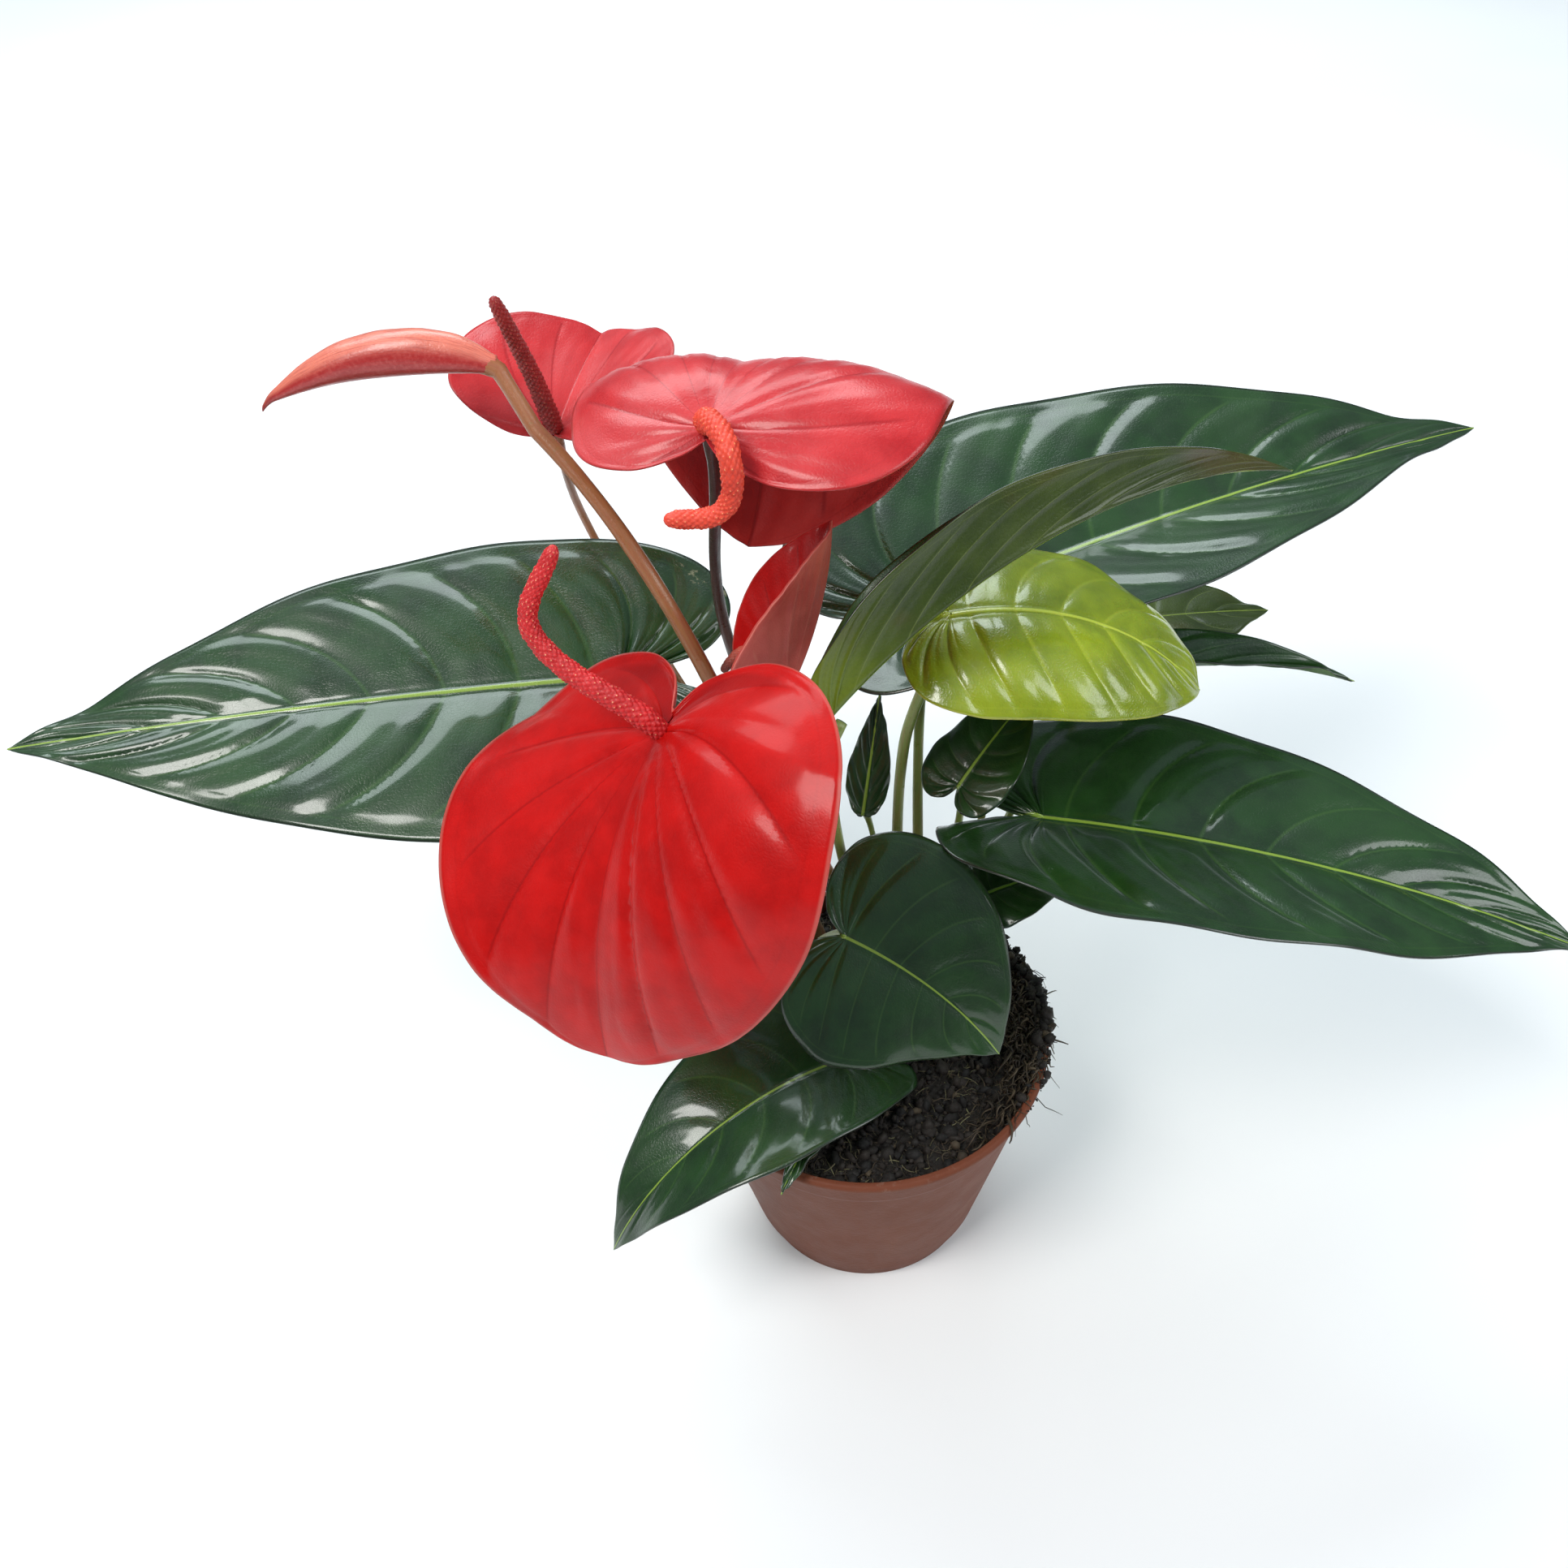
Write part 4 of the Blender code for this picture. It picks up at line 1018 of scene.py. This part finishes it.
def make_fibres():
    """Coir and moss threads lying on the soil, and a tuft that hangs over the right of the rim."""
    points, faces, tone = [], [], []
    used = 0

    def add(line, radius, shade):
        """A three-sided thread along the line, thinner towards its ends."""
        nonlocal used
        radii = radius * (0.35 + 0.65 * np.sin(math.pi * np.linspace(0, 1, len(line))))
        skin = tube_skin(line, np.repeat(radii[:, None], 3, 1)).reshape(-1, 3)
        points.append(skin)
        faces.extend(tuple(used + c for c in f) for f in ring_faces(len(line), 3))
        tone.append(np.full(len(skin), shade))
        used += len(skin)

    x, y, z = scatter(2300)
    for i in range(len(x)):
        length = 0.002 + 0.009 * RNG.random() ** 2
        heading = RNG.random() * math.tau
        bend = RNG.standard_normal() * 1.2
        t = np.linspace(-0.5, 0.5, 8)
        turn = heading + bend * t
        line = np.stack([x[i] + length * t * np.cos(turn), y[i] + length * t * np.sin(turn),
                         z[i] + 0.0006 + 0.0008 * RNG.random() * np.cos(math.pi * t)
                         + 0.0012 * RNG.standard_normal() * t], -1)
        line[:, 2] += 0.35 * (soil_height(line[:, 0], line[:, 1]) - z[i])
        if np.hypot(line[:, 0], line[:, 1]).max() <= RIM_RADIUS - 0.0028:
            add(line, 0.00008 + 0.00018 * RNG.random() ** 2, RNG.random())
    for _ in range(1500):
        angle = math.radians(RNG.normal(10, 22))
        start = RIM_RADIUS - 0.004 - 0.009 * RNG.random()
        length = 0.002 + 0.0055 * RNG.random()
        t = np.linspace(0, 1, 9)
        rise = 0.001 + 0.006 * RNG.random() ** 1.5
        swing = angle + RNG.normal(0, 1.1) * t * 0.12
        outward = start + length * t * RNG.normal(0.35, 0.5) + 0.0012 * np.sin(5 * t + angle * 40)
        drop = rise * np.sin(math.pi * t * 0.8) - 0.004 * RNG.random() * t ** 2
        foot = soil_height(start * math.cos(angle), start * math.sin(angle))
        height = foot + 0.0005 + drop
        over_lip = RIM_HEIGHT + 0.0002 - 6 * np.clip(outward - RIM_RADIUS - 0.0002, 0, 1)
        height = np.where(outward > RIM_RADIUS - 0.0035, np.maximum(height, over_lip), height)
        line = np.stack([outward * np.cos(swing), outward * np.sin(swing), height], -1)
        add(line, 0.00018 + 0.0004 * RNG.random() ** 2, 0.7 * RNG.random())
    return add_mesh("coir_fibres", np.concatenate(points), faces, fibre_material(),
                    {"tone": np.concatenate(tone)})


def crown_material():
    s = Shader("crown_bark")
    bands = s.patches(55.0, 4.0, 0.3, 0.7, vector=s.place((1, 1, 5)))
    colour = s.mix(bands, (0.05, 0.028, 0.014), (0.12, 0.075, 0.03))
    colour = s.mix(s.patches(130.0, 3.0, 0.55, 0.7, 0.0, 0.6), colour, (0.12, 0.15, 0.045))
    height = s.plus(s.noise(600.0, 4.0, 0.7), s.noise(120.0, 3.0))
    return s.set(base=colour, rough=s.ramp(bands, 0.0, 1.0, 0.5, 0.8),
                 normal=s.bump(height, 0.8, 0.0008))


def make_crown(name, material):
    """A stubby shoot with leaf scars round it."""
    x, y, radius, _ = CROWNS[name]
    low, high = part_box(name)
    rings, segments = 40, 48
    share = np.linspace(0, 1, rings)[:, None]
    angle = circle(segments)
    height = low.z + (high.z - low.z) * share
    size = radius * MM * np.sqrt(np.maximum(1 - rise(share, 0.6, 0.42) ** 2.5, 0.03))
    scars = 1 - 0.07 * np.abs(np.sin(share * 19 + np.sin(angle * 2 + 1) * 0.8)) ** 6
    knobs = 1 + 0.05 * np.sin(3 * angle + share * 7) * np.cos(5 * angle - share * 11)
    ring = size * scars * knobs * 0.97
    points = np.stack([x * MM + ring * np.cos(angle), y * MM + ring * np.sin(angle),
                       height + 0 * angle], -1)
    obj = add_mesh(name + "_skin", points.reshape(-1, 3), ring_faces(rings, segments), material)
    return declare(obj, name)


# ---------------------------------------------------------------- stage

def make_world():
    """A dim sky, bluer towards the top."""
    world = bpy.data.worlds.new("studio")
    bpy.context.scene.world = world
    world.use_nodes = True
    tree = world.node_tree
    place, split, scale, fade = (tree.nodes.new("ShaderNode" + kind)
                                 for kind in ("TexCoord", "SeparateXYZ", "MapRange", "ValToRGB"))
    scale.inputs["From Min"].default_value = -1
    low, high = fade.color_ramp.elements
    low.position, low.color = 0.45, (0.10, 0.11, 0.12, 1)
    high.position, high.color = 1.0, (0.50, 0.60, 0.70, 1)
    back = tree.nodes["Background"]
    back.inputs["Strength"].default_value = 0.7
    for output, target in ((place.outputs["Generated"], split.inputs[0]),
                           (split.outputs["Z"], scale.inputs["Value"]),
                           (scale.outputs["Result"], fade.inputs["Fac"]),
                           (fade.outputs["Color"], back.inputs["Color"])):
        tree.links.new(output, target)


def make_stage():
    bpy.ops.mesh.primitive_plane_add(size=12)
    floor = bpy.context.object
    floor.name = "floor"
    s = Shader("floor")
    grey = s.mix(s.patches(3.0, 3.0, 0.3, 0.7), (0.82, 0.82, 0.82), (0.86, 0.86, 0.855))
    floor.data.materials.append(s.set(base=grey, rough=0.9, specular=0.2))
    for name, place, size, power, colour in (
        ("sky_panel", (-0.35, 1.2, 1.5), (1.7, 0.8), 26, (0.86, 0.96, 0.98)),
        ("key", (-0.9, -0.7, 1.9), (0.8, 0.8), 32, (1.0, 0.98, 0.95)),
        ("fill", (1.3, -0.6, 1.3), (0.9, 0.9), 14, (0.96, 0.98, 1.0)),
    ):
        lamp = bpy.data.lights.new(name, "AREA")
        lamp.shape = "RECTANGLE"
        lamp.size, lamp.size_y = size
        lamp.energy = power
        lamp.color = colour
        obj = bpy.data.objects.new(name, lamp)
        bpy.context.scene.collection.objects.link(obj)
        obj.location = place
        aim = Vector((0, 0.03, 0.15)) - Vector(place)
        obj.rotation_euler = aim.to_track_quat("-Z", "Y").to_euler()


def make_camera():
    pitch, roll = math.radians(45.7), math.radians(-3.2)
    forward = Vector((0, math.cos(pitch), -math.sin(pitch)))
    level = Vector((1, 0, 0))
    above = level.cross(forward)
    right = level * math.cos(roll) + above * math.sin(roll)
    up = above * math.cos(roll) - level * math.sin(roll)
    camera = bpy.data.cameras.new("camera")
    camera.sensor_width = 36
    camera.lens = 36.06
    obj = bpy.data.objects.new("camera", camera)
    bpy.context.scene.collection.objects.link(obj)
    turn = Matrix((right, up, -forward)).transposed()
    obj.matrix_world = Matrix.Translation((-0.022, -0.302, 0.520)) @ turn.to_4x4()
    bpy.context.scene.camera = obj
    bpy.context.scene.view_settings.view_transform = "Standard"


def main():
    materials = make_materials()
    blades = {blade.name: blade for blade in LEAVES + SPATHES + BRACTS}
    for blade in blades.values():
        (make_bud if blade.look is BUD else make_blade)(blade, materials)
    for stem in STEMS:
        make_stem(stem, blades, materials)
    for spadix in SPADICES:
        make_spadix(spadix, blades, materials)
    bark = crown_material()
    for name in CROWNS:
        make_crown(name, bark)
    make_pot()
    make_soil()
    make_world()
    make_stage()
    make_camera()


main()
